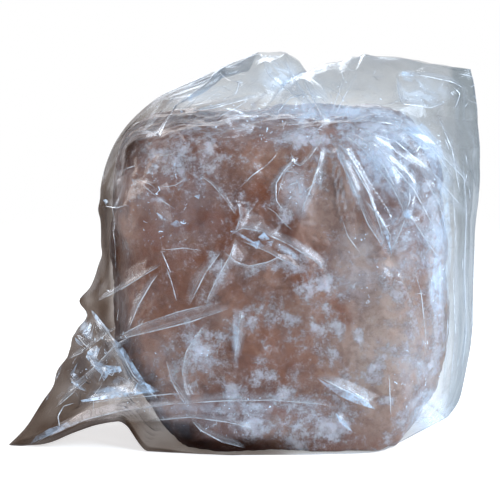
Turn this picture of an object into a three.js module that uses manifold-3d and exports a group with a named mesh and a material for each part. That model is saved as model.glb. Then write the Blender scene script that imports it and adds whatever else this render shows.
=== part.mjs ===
// A rock salt chunk in its clear plastic bag, in millimetres, +Z up.
// +X is to the right and -Y is the front, the side that shows the bag's bottom seal and its long
// corner, the tail, at the lower left. The origin is on the surface that the bag rests on, under
// the middle of the chunk.
// The chunk is one roughly hewn block: flat faces and broad bevels with broken edges, lumps and
// pits. The bag is one film, drawn over the chunk and open along its mouth at the top. It stands
// off the chunk as a flat fin on the right, runs out to the tail on the left, and rises over the
// chunk as a tent to the mouth.

import * as THREE from "three";
import { mergeVertices } from "three/addons/utils/BufferGeometryUtils.js";
import Module from "manifold-3d";

const wasm = await Module();
wasm.setup();

// Chunk

const CHUNK_CENTRE = new THREE.Vector3(0, 0, 62);
const CHUNK_BASE_Z = 1.6; // its flat cut base stands on the film
const EDGE_SHARPNESS = 15; // power of the norm that rounds the edges between faces
const CHUNK_STEPS = 18; // mesh steps along each side of the cube that the chunk is hewn from
const BEYOND_CHUNK = 120; // farther from its axis than any of it

// Each face of the hewn block: its outward direction, and its distance from the chunk's centre.
const CHUNK_FACES = [
  { out: [1, 0.04, 0.05], at: 65 }, // right
  { out: [-1, -0.1, 0.02], at: 65 }, // left
  { out: [0.02, -1, 0.07], at: 51 }, // front
  { out: [-0.05, 1, 0.03], at: 50 }, // back
  { out: [-0.03, -0.05, 1], at: 60 }, // top
  { out: [0, 0, -1], at: 66 }, // below the flat base, so that the base keeps a real width
  { out: [0.75, -0.66, 0.02], at: 71 }, // front right bevel
  { out: [-0.62, -0.78, 0.1], at: 69 }, // front left bevel
  { out: [0.7, 0.7, 0.05], at: 76 }, // back right bevel
  { out: [-0.72, 0.69, -0.04], at: 73 }, // back left bevel
  { out: [0.05, -0.66, 0.75], at: 68 }, // front top bevel
  { out: [0.02, 0.62, 0.78], at: 74 }, // back top bevel
  { out: [0.72, -0.05, 0.69], at: 79 }, // right top bevel
  { out: [-0.67, -0.06, 0.74], at: 80 }, // left top bevel
  { out: [0.73, -0.12, -0.67], at: 79 }, // right bottom bevel
  { out: [-0.74, -0.1, -0.66], at: 72 }, // left bottom bevel
].map(({ out, at }) => ({ out: new THREE.Vector3(...out).normalize(), at }));

// Shallow hollows broken out of the chunk, and lumps left standing on it. `toward` is the
// direction from the centre, `spread` the cosine at which the mark fades out, `depth` is inward.
const CHUNK_MARKS = [
  { toward: [-0.55, -0.8, 0.55], spread: 0.955, depth: 2.6 },
  { toward: [-0.85, -0.5, -0.1], spread: 0.95, depth: 2.2 },
  { toward: [0.95, -0.45, 0.25], spread: 0.965, depth: 2.4 },
  { toward: [0.3, -0.85, -0.62], spread: 0.96, depth: 1.8 },
  { toward: [0.1, -0.95, 0.1], spread: 0.94, depth: -1.6 },
  { toward: [-0.3, -0.85, -0.35], spread: 0.96, depth: -1.5 },
  { toward: [0.5, 0.1, 0.9], spread: 0.955, depth: 2.8 },
  { toward: [-0.35, 0.3, 0.9], spread: 0.95, depth: 2.2 },
  { toward: [0.35, 0.9, 0.2], spread: 0.95, depth: 3.0 },
  { toward: [-0.5, 0.85, -0.3], spread: 0.955, depth: 2.4 },
  { toward: [-0.2, 0.9, 0.5], spread: 0.96, depth: -1.8 },
  { toward: [0.9, 0.4, -0.3], spread: 0.955, depth: 2.6 },
].map((mark) => ({ ...mark, toward: new THREE.Vector3(...mark.toward).normalize() }));
const ROUGHNESS_WAVES = [
  { length: 34, height: 0.9, phase: 0.4 },
  { length: 19, height: 0.6, phase: 2.1 },
  { length: 11, height: 0.4, phase: 4.7 },
];

// Bag

const FILM = 1.0; // the film's wall in this model, much thicker than the real film
const CLEARANCE = 1.6; // gap between the film and the chunk at the film's mesh points
const LEAST_GAP = 0.4; // and everywhere between them
const FIN_RADIUS = 1.8; // outer radius of the folded side edges
const FOOTPRINT_INSET = 2; // the flat of the bag's bottom ends this far inside the chunk's base
const AROUND = 56; // mesh steps around the bag
const SHOULDER_Z = 92; // straight sections end here, and the tent over the chunk begins
const SECTION_LEVELS = [0, 5, 11, 18, 26, 36, 47, 58, 70, 81, SHOULDER_Z];
const TENT_STEPS = 7;
const BOTTOM_EDGE_ROW = 2; // rows 0 and 1 are the flat of the bottom, and row 2 is its outer edge
const EDGE_SLIDE = 2; // height of the inside over the outside at that edge

// The folded side edges, from the resting surface up: height, then how far out and at what depth.
const RIGHT_EDGE = [
  [0, 66, -6],
  [6, 71, -4],
  [16, 73.5, -2],
  [36, 75.4, 0],
  [60, 76, 2],
  [76, 76.4, 3],
  [SHOULDER_Z, 78.6, 4],
];
const LEFT_EDGE = [
  [0, -101, -42],
  [6, -94.5, -40],
  [14, -89, -34],
  [26, -82, -24],
  [36, -79, -16],
  [46, -76.2, -9],
  [60, -70.8, -3],
  [72, -69.4, 0],
  [SHOULDER_Z, -69.2, 0],
];

// The mouth's rim, seen from the front: how far across, then height. The tuft is at its middle.
const RIM = [
  [-32, 135.4],
  [-22, 137.4],
  [-12, 138.4],
  [-8, 145],
  [3, 145.5],
  [8, 142],
  [11, 138],
  [20, 141],
  [34, 144.5],
  [55, 142.5],
  [76, 139],
];
const RIM_DEPTH = 8; // how far behind the chunk's middle the mouth stands
const MOUTH_HALF_GAP = 2.5; // outside the film, half way across the slit
const PAST_LIPS = 3; // how far the room inside is taken past the lips, which opens the mouth
const TENT_LEAN = 0.1; // share of the way in that the tent goes before it turns in
const TENT_TURN_DROP = 12; // how far under the rim the tent turns in

// The film's lower edge rises from the tail's tip to a peak beside the chunk, off the surface.
const TAIL_LIFT = { from: -99, peak: -60, to: -49, height: 12, fades_at: 36 };

// Straight lines between the rows of a table whose first column is the place looked up.
function alongTable(table, place, column) {
  const last = table.length - 1;
  if (place <= table[0][0]) return table[0][column];
  if (place >= table[last][0]) return table[last][column];
  const i = table.findIndex((row) => row[0] > place);
  const t = (place - table[i - 1][0]) / (table[i][0] - table[i - 1][0]);
  return THREE.MathUtils.lerp(table[i - 1][column], table[i][column], t);
}

// How many times out a point is: 1 on the block's rounded faces, more outside them.
function outwardness(offset) {
  let sum = 0;
  for (const face of CHUNK_FACES) {
    const share = face.out.dot(offset) / face.at;
    if (share > 0) sum += share ** EDGE_SHARPNESS;
  }
  return sum ** (1 / EDGE_SHARPNESS);
}

// Broken-surface height at a direction: a few crossed waves and the marks.
function brokenness(direction, radius) {
  let height = 0;
  for (const wave of ROUGHNESS_WAVES) {
    const k = (2 * Math.PI * radius) / wave.length;
    const across = Math.sin(k * direction.x + 1.7 * Math.sin(0.6 * k * direction.z + wave.phase));
    const along = Math.sin(k * direction.y + 1.3 * Math.sin(0.7 * k * direction.x - wave.phase));
    const upright = Math.sin(k * direction.z + 1.5 * Math.sin(0.5 * k * direction.y + wave.phase));
    height += (wave.height * (across + along + upright)) / 2;
  }
  for (const mark of CHUNK_MARKS) {
    const inMark = (direction.dot(mark.toward) - mark.spread) / (1 - mark.spread);
    if (inMark > 0) height -= mark.depth * Math.min(1, 2 * inMark);
  }
  return height;
}

// The chunk's real radius in a direction from its centre.
function chunkRadius(direction) {
  const radius = 1 / outwardness(direction);
  return radius + brokenness(direction, radius);
}

// The chunk's closed mesh, with every point moved out by `grown`.
function chunkGeometry(grown = 0) {
  const cube = new THREE.BoxGeometry(2, 2, 2, CHUNK_STEPS, CHUNK_STEPS, CHUNK_STEPS);
  cube.deleteAttribute("normal");
  cube.deleteAttribute("uv");
  const geometry = mergeVertices(cube);
  const position = geometry.getAttribute("position");
  const direction = new THREE.Vector3();
  for (let i = 0; i < position.count; i++) {
    direction.fromBufferAttribute(position, i);
    // Evens the steps out between the middle of a side and its corners.
    for (const axis of ["x", "y", "z"]) direction[axis] = Math.tan((direction[axis] * Math.PI) / 4.6);
    direction.normalize();
    const point = direction.clone().multiplyScalar(chunkRadius(direction) + grown).add(CHUNK_CENTRE);
    position.setXYZ(i, point.x, point.y, Math.max(point.z, CHUNK_BASE_Z - grown));
  }
  geometry.computeVertexNormals();
  return geometry;
}

// How far the smooth block reaches at a height, at an angle from above.
function blockReach(angle, z) {
  const level = Math.max(z, CHUNK_BASE_Z) - CHUNK_CENTRE.z;
  let inside = 0;
  let outside = BEYOND_CHUNK;
  while (outside - inside > 0.01) {
    const middle = (inside + outside) / 2;
    const at = new THREE.Vector3(middle * Math.cos(angle), middle * Math.sin(angle), level);
    if (outwardness(at) < 1) inside = middle;
    else outside = middle;
  }
  return inside;
}

// The block's outline at a height, grown by `gap`, as points [x, y] in turn.
function blockOutline(z, gap) {
  const steps = 72;
  return Array.from({ length: steps }, (_, i) => {
    const angle = (2 * Math.PI * i) / steps;
    const reach = blockReach(angle, z) + gap;
    return [reach * Math.cos(angle), reach * Math.sin(angle)];
  });
}

function circle(x, y, radius) {
  const steps = 12;
  const turn = (i) => (2 * Math.PI * i) / steps;
  return Array.from({ length: steps }, (_, i) => [
    x + radius * Math.cos(turn(i)),
    y + radius * Math.sin(turn(i)),
  ]);
}

// Convex outline of a set of points, anticlockwise from above.
function taut(points) {
  const sorted = [...points].sort((a, b) => a[0] - b[0] || a[1] - b[1]);
  const turnsLeft = (a, b, c) => (b[0] - a[0]) * (c[1] - a[1]) > (b[1] - a[1]) * (c[0] - a[0]);
  const chain = (list) => {
    const out = [];
    for (const p of list) {
      while (out.length > 1 && !turnsLeft(out[out.length - 2], out[out.length - 1], p)) out.pop();
      out.push(p);
    }
    out.pop();
    return out;
  };
  return [...chain(sorted), ...chain(sorted.reverse())];
}

// `count` points evenly spaced along an open line, its end left out.
function evenly(line, count) {
  const run = [0];
  for (let i = 1; i < line.length; i++) {
    const step = Math.hypot(line[i][0] - line[i - 1][0], line[i][1] - line[i - 1][1]);
    run.push(run[i - 1] + step);
  }
  const rows = run.map((length, i) => [length, ...line[i]]);
  const total = run[run.length - 1];
  return Array.from({ length: count }, (_, k) => {
    const at = (total * k) / count;
    return [alongTable(rows, at, 1), alongTable(rows, at, 2)];
  });
}

// Turns a closed outline to start at its rightmost point, and spaces it evenly along the back to
// its leftmost point and evenly along the front from there.
function loopFrom(outline) {
  const xs = outline.map((p) => p[0]);
  const start = xs.indexOf(Math.max(...xs));
  const turned = [...outline.slice(start), ...outline.slice(0, start)];
  const left = turned.map((p) => p[0]).indexOf(Math.min(...xs));
  return [
    ...evenly(turned.slice(0, left + 1), AROUND / 2),
    ...evenly([...turned.slice(left), turned[0]], AROUND / 2),
  ];
}

// One straight section of the film's outside: drawn tight over the chunk and the two side edges.
function sectionLoop(z) {
  const outline = taut([
    ...blockOutline(z, CLEARANCE + FILM),
    ...circle(alongTable(RIGHT_EDGE, z, 1), alongTable(RIGHT_EDGE, z, 2), FIN_RADIUS),
    ...circle(alongTable(LEFT_EDGE, z, 1), alongTable(LEFT_EDGE, z, 2), FIN_RADIUS),
  ]);
  return loopFrom(outline).map(([x, y]) => new THREE.Vector3(x, y, z));
}

// The outside of the mouth's lips, a narrow slit along the rim.
function rimLoop() {
  const first = RIM[0][0];
  const last = RIM[RIM.length - 1][0];
  const outline = taut([
    ...circle(first + FIN_RADIUS, RIM_DEPTH, FIN_RADIUS),
    ...circle((first + last) / 2, RIM_DEPTH, MOUTH_HALF_GAP),
    ...circle(last - FIN_RADIUS, RIM_DEPTH, FIN_RADIUS),
  ]);
  return loopFrom(outline).map(([x, y]) => new THREE.Vector3(x, y, alongTable(RIM, x, 1)));
}

function smooth(from, to, place) {
  return THREE.MathUtils.smoothstep(place, from, to);
}

// Raises the film under the tail.
function lifted(point) {
  const { from, peak, to, height, fades_at } = TAIL_LIFT;
  const across = smooth(from, peak, point.x) * (1 - smooth(peak, to, point.x));
  const rise = height * across * Math.max(0, 1 - point.z / fades_at);
  return new THREE.Vector3(point.x, point.y, point.z + rise);
}

// Moves a point of the film out, where needed, until it stands off the chunk by `gap`.
function clearOfChunk(point, gap) {
  if (point.z < CHUNK_BASE_Z) return point;
  const offset = point.clone().sub(CHUNK_CENTRE);
  const direction = offset.clone().normalize();
  const least = chunkRadius(direction) + gap;
  if (offset.length() >= least) return point;
  return CHUNK_CENTRE.clone().addScaledVector(direction, least);
}

// Rows of the film's outside, from the flat of the bag's bottom up to the mouth.
function outerRows() {
  const sections = SECTION_LEVELS.map(sectionLoop);
  const shrunk = (share) =>
    sections[0].map((point) => {
      const reach = blockReach(Math.atan2(point.y, point.x), 0) - FOOTPRINT_INSET;
      return point.clone().setLength(share * reach);
    });
  const shoulder = sections[sections.length - 1];
  const rim = rimLoop();
  const tent = Array.from({ length: TENT_STEPS }, (_, k) => {
    const t = (k + 1) / TENT_STEPS;
    return shoulder.map((foot, i) => {
      const turn = foot.clone().lerp(rim[i], TENT_LEAN).setZ(rim[i].z - TENT_TURN_DROP);
      return new THREE.QuadraticBezierCurve3(foot, turn, rim[i]).getPoint(t);
    });
  });
  const risen = [...sections, ...tent].map((row) =>
    row.map((point) => clearOfChunk(lifted(point), CLEARANCE + FILM)),
  );
  return [shrunk(0.5), shrunk(1), ...risen];
}

// Rows of the film's inside: each point goes in by the wall, square to the surface, and along the
// bottom's sharp edge towards the chunk's centre. The last row rises past the lips, so that the
// mouth is open.
function innerRows(outside) {
  const normal = skin(outside, { capped: false }).getAttribute("normal");
  const rows = outside.map((row, r) =>
    row.map((point, i) => {
      const out = new THREE.Vector3().fromBufferAttribute(normal, r * AROUND + i);
      const inside = point.clone().addScaledVector(out, -FILM);
      if (r === BOTTOM_EDGE_ROW) inside.copy(point).lerp(CHUNK_CENTRE, EDGE_SLIDE / CHUNK_CENTRE.z);
      return clearOfChunk(inside, CLEARANCE);
    }),
  );
  const above = rows[rows.length - 1].map((point) => point.clone().setZ(point.z + PAST_LIPS));
  return [...rows, above];
}

// A surface through rows of points, closed by a fan under the first row, and where it is `capped`
// by a strip from lip to lip over the last one.
function skin(rows, { capped }) {
  const points = rows.flat();
  const base = points.length;
  points.push(new THREE.Vector3(0, 0, rows[0][0].z));
  const at = (row, i) => row * AROUND + (i % AROUND);
  const index = [];
  for (let i = 0; i < AROUND; i++) {
    for (let row = 0; row < rows.length - 1; row++) {
      index.push(at(row, i), at(row, i + 1), at(row + 1, i + 1));
      index.push(at(row, i), at(row + 1, i + 1), at(row + 1, i));
    }
    index.push(base, at(0, i + 1), at(0, i));
  }
  for (let i = 0; capped && i < AROUND / 2; i++) {
    const lip = (k) => at(rows.length - 1, k);
    const [back, nextBack] = [lip(i), lip(i + 1)];
    const [front, nextFront] = [lip(AROUND - i), lip(AROUND - i - 1)];
    if (back !== front) index.push(back, nextBack, front);
    if (nextBack !== nextFront) index.push(nextBack, nextFront, front);
  }
  const geometry = new THREE.BufferGeometry();
  const all = points.flatMap((p) => [p.x, p.y, p.z]);
  geometry.setAttribute("position", new THREE.BufferAttribute(new Float32Array(all), 3));
  geometry.setIndex(index);
  geometry.computeVertexNormals();
  return geometry;
}

// The film: what lies between its two skins, less the room that the chunk needs.
function bagSolid() {
  const outside = outerRows();
  const outer = solidOf(skin(outside, { capped: true }));
  const inner = solidOf(skin(innerRows(outside), { capped: true }));
  return outer.subtract(inner).subtract(solidOf(chunkGeometry(LEAST_GAP)));
}

function solidOf(geometry) {
  return new wasm.Manifold(
    new wasm.Mesh({
      numProp: 3,
      vertProperties: geometry.getAttribute("position").array,
      triVerts: new Uint32Array(geometry.index.array),
    }),
  );
}

function geometryOf(solid) {
  const mesh = solid.getMesh();
  const geometry = new THREE.BufferGeometry();
  geometry.setAttribute("position", new THREE.BufferAttribute(mesh.vertProperties, mesh.numProp));
  geometry.setIndex(new THREE.BufferAttribute(mesh.triVerts, 1));
  geometry.computeVertexNormals();
  return geometry;
}

function named(name, geometry, material) {
  const mesh = new THREE.Mesh(geometry, material);
  mesh.name = name;
  return mesh;
}

const saltMaterial = new THREE.MeshStandardMaterial({ color: 0xb08a7e, roughness: 0.55, metalness: 0 });
const filmMaterial = new THREE.MeshStandardMaterial({
  color: 0xd5dde4,
  roughness: 0.12,
  metalness: 0,
  transparent: true,
  opacity: 0.3,
  side: THREE.DoubleSide,
});

const saltChunkInBag = new THREE.Group();
saltChunkInBag.add(named("salt_chunk", chunkGeometry(), saltMaterial));
saltChunkInBag.add(named("plastic_bag", geometryOf(bagSolid()), filmMaterial));

export default saltChunkInBag;
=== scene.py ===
import math

import bpy
import numpy as np
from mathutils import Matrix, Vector, geometry
from mathutils.bvhtree import BVHTree


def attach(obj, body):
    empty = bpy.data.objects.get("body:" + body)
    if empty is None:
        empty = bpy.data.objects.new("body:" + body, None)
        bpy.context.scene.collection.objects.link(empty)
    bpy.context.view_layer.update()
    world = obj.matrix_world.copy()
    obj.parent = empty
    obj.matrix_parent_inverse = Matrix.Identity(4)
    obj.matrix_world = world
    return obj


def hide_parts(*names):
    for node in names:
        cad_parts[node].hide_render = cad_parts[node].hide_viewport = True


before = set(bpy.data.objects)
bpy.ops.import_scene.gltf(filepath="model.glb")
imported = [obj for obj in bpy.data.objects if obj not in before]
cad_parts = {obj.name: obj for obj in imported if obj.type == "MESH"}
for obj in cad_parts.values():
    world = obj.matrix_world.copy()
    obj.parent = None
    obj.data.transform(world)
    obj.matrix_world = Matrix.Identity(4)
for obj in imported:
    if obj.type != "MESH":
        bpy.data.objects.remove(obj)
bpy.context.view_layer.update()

# A chunk of rock salt in a clear plastic bag. Everything is worked out in millimetres, in the CAD
# frame: +X right, +Y back, +Z up, the origin on the floor under the middle of the chunk.

METRE = 1000.0

# Camera and photograph

AIM = np.array([0.0, 0.0, 66.0])
CAMERA_DISTANCE = 600.0
CAMERA_RISE = math.radians(10)
IMAGE_PIXELS = 500
AIM_PIXEL = (279, 254)
PIXELS_PER_MM = 2.5  # at the aim's distance
SENSOR = 36.0
OUT_OF_PHOTO = -1000  # a pixel place for points that no fold moves

# Chunk

CHUNK_CENTRE = np.array([0.0, 0.0, 62.0])
CHUNK_BASE_Z = 1.6
CHUNK_STEPS = 124  # mesh steps along each side of the cube that the fine chunk is made from
EDGE_SHARPNESS = 15
# Outward direction and distance of each face of the hewn block, as in the CAD chunk.
CHUNK_FACES = [
    ((1, 0.04, 0.05), 65),
    ((-1, -0.1, 0.02), 65),
    ((0.02, -1, 0.07), 51),
    ((-0.05, 1, 0.03), 50),
    ((-0.03, -0.05, 1), 60),
    ((0, 0, -1), 66),
    ((0.75, -0.66, 0.02), 71),
    ((-0.62, -0.78, 0.1), 69),
    ((0.7, 0.7, 0.05), 76),
    ((-0.72, 0.69, -0.04), 73),
    ((0.05, -0.66, 0.75), 68),
    ((0.02, 0.62, 0.78), 74),
    ((0.72, -0.05, 0.69), 79),
    ((-0.67, -0.06, 0.74), 80),
    ((0.73, -0.12, -0.67), 79),
    ((-0.74, -0.1, -0.66), 72),
]
# How the CAD chunk's flat facets are evened out before the roughness is added.
EVENING_ROUNDS = 5
EVENING_SHARE = 0.6
# Roughness added to the CAD chunk's form: feature length and height.
CHUNK_ROUGHNESS = [(27, 0.9), (15, 0.8), (7, 0.5), (3.2, 0.33), (1.6, 0.18)]
ROUGHNESS_WARP = 2.0
SETTLED = 1.1  # how much nearer the floor the fine chunk stands, on film that is thinner than the CAD's
SETTLED_BELOW = 22
# Ledges broken along the chunk's front right edge, in pixels of the photograph, with their height:
# the face drops to the right of each line.
CHUNK_LEDGES = [
    ([(366, 200), (384, 246), (398, 275), (410, 300), (420, 332), (424, 372), (418, 424)], 1.5),
    ([(414, 230), (428, 262), (438, 300), (440, 350), (434, 410)], 1.2),
    ([(300, 232), (318, 262), (330, 296)], 0.7),
]
LEDGE_SPAN = 26
LEDGE_WANDER = 2

# Bag, after the CAD bag, with a thinner film

OUTLINE_ANGLES = np.linspace(0, 2 * math.pi, 120, endpoint=False)
CIRCLE_ANGLES = np.linspace(0, 2 * math.pi, 25)[:-1]
FARTHEST = 120.0  # farther out than the block reaches anywhere
HALVINGS = 16
EDGE_SAMPLES = 400  # along a table's smooth line, and how many of them its smoothing takes on each side
EDGE_SMOOTHING = 25
FILM_GAPS = [(0, 4, 14), (0.8, 1.2, 2.1)]  # heights, then from the smooth block to the film there
LEAST_GAP = 0.25
FIN_RADIUS = 1.6
SHOULDER_Z = 92
# The folded side edges: heights, then how far out and at what depth they are.
RIGHT_EDGE = [
    (0, 66, -6),
    (6, 71, -4),
    (16, 73.5, -2),
    (36, 75.4, 0),
    (60, 76, 2),
    (76, 76.4, 3),
    (92, 78.6, 4),
]
LEFT_EDGE = [
    (0, -101, -42),
    (6, -94.5, -40),
    (14, -89, -34),
    (26, -82, -24),
    (36, -79, -16),
    (46, -76.2, -9),
    (60, -70.8, -3),
    (72, -69.4, 0),
    (92, -69.2, 0),
]
# The mouth's rim, from left to right, and its heights.
RIM = [
    (-32, 135.4),
    (-22, 137.4),
    (-12, 138.4),
    (-8, 145),
    (3, 145.5),
    (8, 142),
    (11, 138),
    (20, 141),
    (34, 144.5),
    (55, 142.5),
    (76, 139),
]
RIM_DEPTH = 8
LIPS_FROM_Z = 128
LIPS_APART = 0.5  # from each lip to the middle between them
MOUTH_HALF_GAP = 2.5
TENT_LEAN = 0.1
TENT_TURN_DROP = 12
TAIL_LIFT = {"from": -99, "peak": -60, "to": -49, "height": 12, "fades_at": 36}
# Kinks of the left folded edge: height and how far they stand out.
EDGE_KINKS = [(49, 2.6), (43, -2.8), (30, -0.8), (24, 1.0), (18, -1.0), (84, 1.0), (66, -1.0)]
KINK_SPAN = 3.2
FOOTPRINT_INSET = 2
BACK_COLUMNS = 130
FRONT_COLUMNS = 226
SECTION_ROWS = 138
TENT_ROWS = 120
BOTTOM_SHARES = [0.25, 0.6, 1.0]
UNDERSIDE_RINGS = 9


# Numbers and noise

CELL_FACTORS = np.array([73856093, 19349663, 83492791])
SEED_FACTOR = 2654435761
MIXING_STEPS = ((13, 1274126177), (16, 2246822519))
TINY = 1e-9  # keeps a direction's length from being nothing


def unit(vectors):
    return vectors / np.linalg.norm(vectors, axis=-1, keepdims=True)


def smoothstep(low, high, value):
    share = np.clip((value - low) / (high - low), 0, 1)
    return share * share * (3 - 2 * share)


def hashed(cells, seed):
    """A fixed random number from -1 to 1 for each whole-number cell."""
    mixed = np.bitwise_xor.reduce(cells * CELL_FACTORS, axis=-1) ^ seed * SEED_FACTOR
    for shift, factor in MIXING_STEPS:
        mixed = (mixed ^ (mixed >> shift)) * factor & 0xFFFFFFFF
    return ((mixed ^ (mixed >> 15)) & 0xFFFF) / 32767.5 - 1


def noise(points, length, seed):
    """Smooth noise from -1 to 1 whose features are about `length` wide."""
    place = points / length
    cell = np.floor(place).astype(np.int64)
    share = place - cell
    share = share * share * (3 - 2 * share)
    total = np.zeros(len(points))
    for corner in range(8):
        step = np.array([corner & 1, corner >> 1 & 1, corner >> 2 & 1])
        weight = np.prod(np.where(step, share, 1 - share), axis=1)
        total += weight * hashed(cell + step, seed)
    return total


def facets(places, spacing, seed):
    """Crumpled height from -1 to 1 at 2-D places: flat facets that meet along straight creases."""
    rng = np.random.default_rng(seed)
    scaled = places / np.array(spacing)
    low = np.floor(scaled.min(axis=0)) - 2
    count = (np.ceil(scaled.max(axis=0)) + 2 - low).astype(int) + 1
    rows, columns = np.meshgrid(np.arange(count[0]), np.arange(count[1]), indexing="ij")
    knots = low + np.stack([rows.ravel(), columns.ravel()], axis=1)
    knots = knots + rng.uniform(-0.45, 0.45, knots.shape)
    heights = rng.uniform(-1, 1, len(knots))
    flat, _, faces, order, _, _ = geometry.delaunay_2d_cdt([Vector(k) for k in knots], [], [], 0, 1e-6)
    raised = [(v.x, v.y, heights[order[i][0]]) for i, v in enumerate(flat)]
    tree = BVHTree.FromPolygons(raised, faces)
    down = Vector((0, 0, -1))
    return np.array([tree.ray_cast(Vector((x, y, 3)), down)[0].z for x, y in scaled])


def photo_places(points):
    """Where points show in the photograph, in pixels."""
    back = points[:, 1]
    above = points[:, 2] - AIM[2]
    depth = CAMERA_DISTANCE + back * math.cos(CAMERA_RISE) - above * math.sin(CAMERA_RISE)
    up = back * math.sin(CAMERA_RISE) + above * math.cos(CAMERA_RISE)
    scale = PIXELS_PER_MM * CAMERA_DISTANCE / depth
    return np.stack([AIM_PIXEL[0] + scale * points[:, 0], AIM_PIXEL[1] - scale * up], axis=1)


# Meshes


def placed(name, data):
    piece = bpy.data.objects.new(name, data)
    bpy.context.scene.collection.objects.link(piece)
    return piece


def make_mesh(name, points, faces):
    mesh = bpy.data.meshes.new(name)
    mesh.from_pydata((points / METRE).tolist(), [], [tuple(face) for face in faces])
    mesh.update()
    mesh.polygons.foreach_set("use_smooth", np.ones(len(faces), dtype=bool))
    return placed(name, mesh)


def add_attribute(piece, name, values):
    layer = piece.data.attributes.new(name, "FLOAT", "POINT")
    layer.data.foreach_set("value", values.astype(np.float32))


def joined(name, parts, attributes):
    """One piece from several parts, each with its points, its faces and its values of the attributes."""
    faces, count = [], 0
    for part in parts:
        faces += [[i + count for i in face] for face in part[1]]
        count += len(part[0])
    piece = make_mesh(name, np.concatenate([part[0] for part in parts]), faces)
    for k, attribute in enumerate(attributes):
        add_attribute(piece, attribute, np.concatenate([part[2 + k] for part in parts]))
    return piece


# Chunk


def cube_sphere(steps):
    """Directions over a sphere, and the quads between them, from a cube's surface."""
    side = np.tan(np.linspace(-1, 1, steps + 1) * math.pi / 4.6) / math.tan(math.pi / 4.6)
    u, v = np.meshgrid(side, side, indexing="ij")
    one = np.ones_like(u)
    sheets = []
    for axis in range(3):
        for sign in (-1, 1):
            sheet = np.zeros(u.shape + (3,))
            sheet[..., axis] = sign * one
            sheet[..., (axis + 1) % 3] = u * sign
            sheet[..., (axis + 2) % 3] = v
            sheets.append(sheet.reshape(-1, 3))
    points = np.concatenate(sheets)
    index = np.arange(len(points)).reshape(6, steps + 1, steps + 1)
    quads = np.stack([index[:, :-1, :-1], index[:, 1:, :-1], index[:, 1:, 1:], index[:, :-1, 1:]], axis=-1)
    merged, place = np.unique(np.round(points, 6), axis=0, return_inverse=True)
    return unit(merged), place.ravel()[quads.reshape(-1, 4)]


def neighbour_mean(values, quads):
    total = np.zeros_like(values)
    count = np.zeros(len(values))
    for a, b in ((0, 1), (1, 2), (2, 3), (3, 0)):
        for start, end in ((quads[:, a], quads[:, b]), (quads[:, b], quads[:, a])):
            total += np.bincount(start, weights=values[end], minlength=len(values))
            count += np.bincount(start, minlength=len(values))
    return total / count


def tree_of(node):
    mesh = node.data
    return BVHTree.FromPolygons([METRE * v.co for v in mesh.vertices], [p.vertices for p in mesh.polygons])


def radii(tree, directions):
    """How far a closed form reaches from the chunk's centre in each direction."""
    start = Vector(CHUNK_CENTRE)
    return np.array([tree.ray_cast(start, Vector(direction))[3] or 0.0 for direction in directions])


def chunk_points():
    directions, quads = cube_sphere(CHUNK_STEPS)
    reach = radii(tree_of(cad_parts["salt_chunk"]), directions)
    for _ in range(EVENING_ROUNDS):
        reach = (1 - EVENING_SHARE) * reach + EVENING_SHARE * neighbour_mean(reach, quads)
    base = directions * reach[:, None] + CHUNK_CENTRE
    for i, (length, height) in enumerate(CHUNK_ROUGHNESS):
        warp = np.stack([noise(base, 2 * length, 90 + 3 * i + k) for k in range(3)], axis=1)
        bumps = noise(base + ROUGHNESS_WARP * warp, length, 11 + i)
        reach = reach + height * (0.7 - 1.54 * np.abs(bumps))
    seen = photo_places(base) + LEDGE_WANDER * noise(base, 5, 33)[:, None]
    front = smoothstep(0.35, 0.05, directions[:, 1])
    for line, height in CHUNK_LEDGES:
        reach = reach - height * front * ledge(seen, line)
    points = directions * reach[:, None] + CHUNK_CENTRE
    points[:, 2] = np.maximum(points[:, 2], CHUNK_BASE_Z)
    points[:, 2] -= SETTLED * np.maximum(0, 1 - (points[:, 2] - CHUNK_BASE_Z) / SETTLED_BELOW)
    return points, quads, directions


def ledge(seen, line):
    """1 just to the right of a line in the photograph, and less up to LEDGE_SPAN pixels from it."""
    line = np.array(line, dtype=float)
    across = seen[:, 0] - np.interp(seen[:, 1], line[:, 1], line[:, 0])
    ends = smoothstep(line[0, 1] - 6, line[0, 1] + 8, seen[:, 1])
    ends = ends * (1 - smoothstep(line[-1, 1] - 8, line[-1, 1] + 6, seen[:, 1]))
    return smoothstep(0, 2.5, across) * (1 - smoothstep(3, LEDGE_SPAN, across)) * ends


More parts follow.
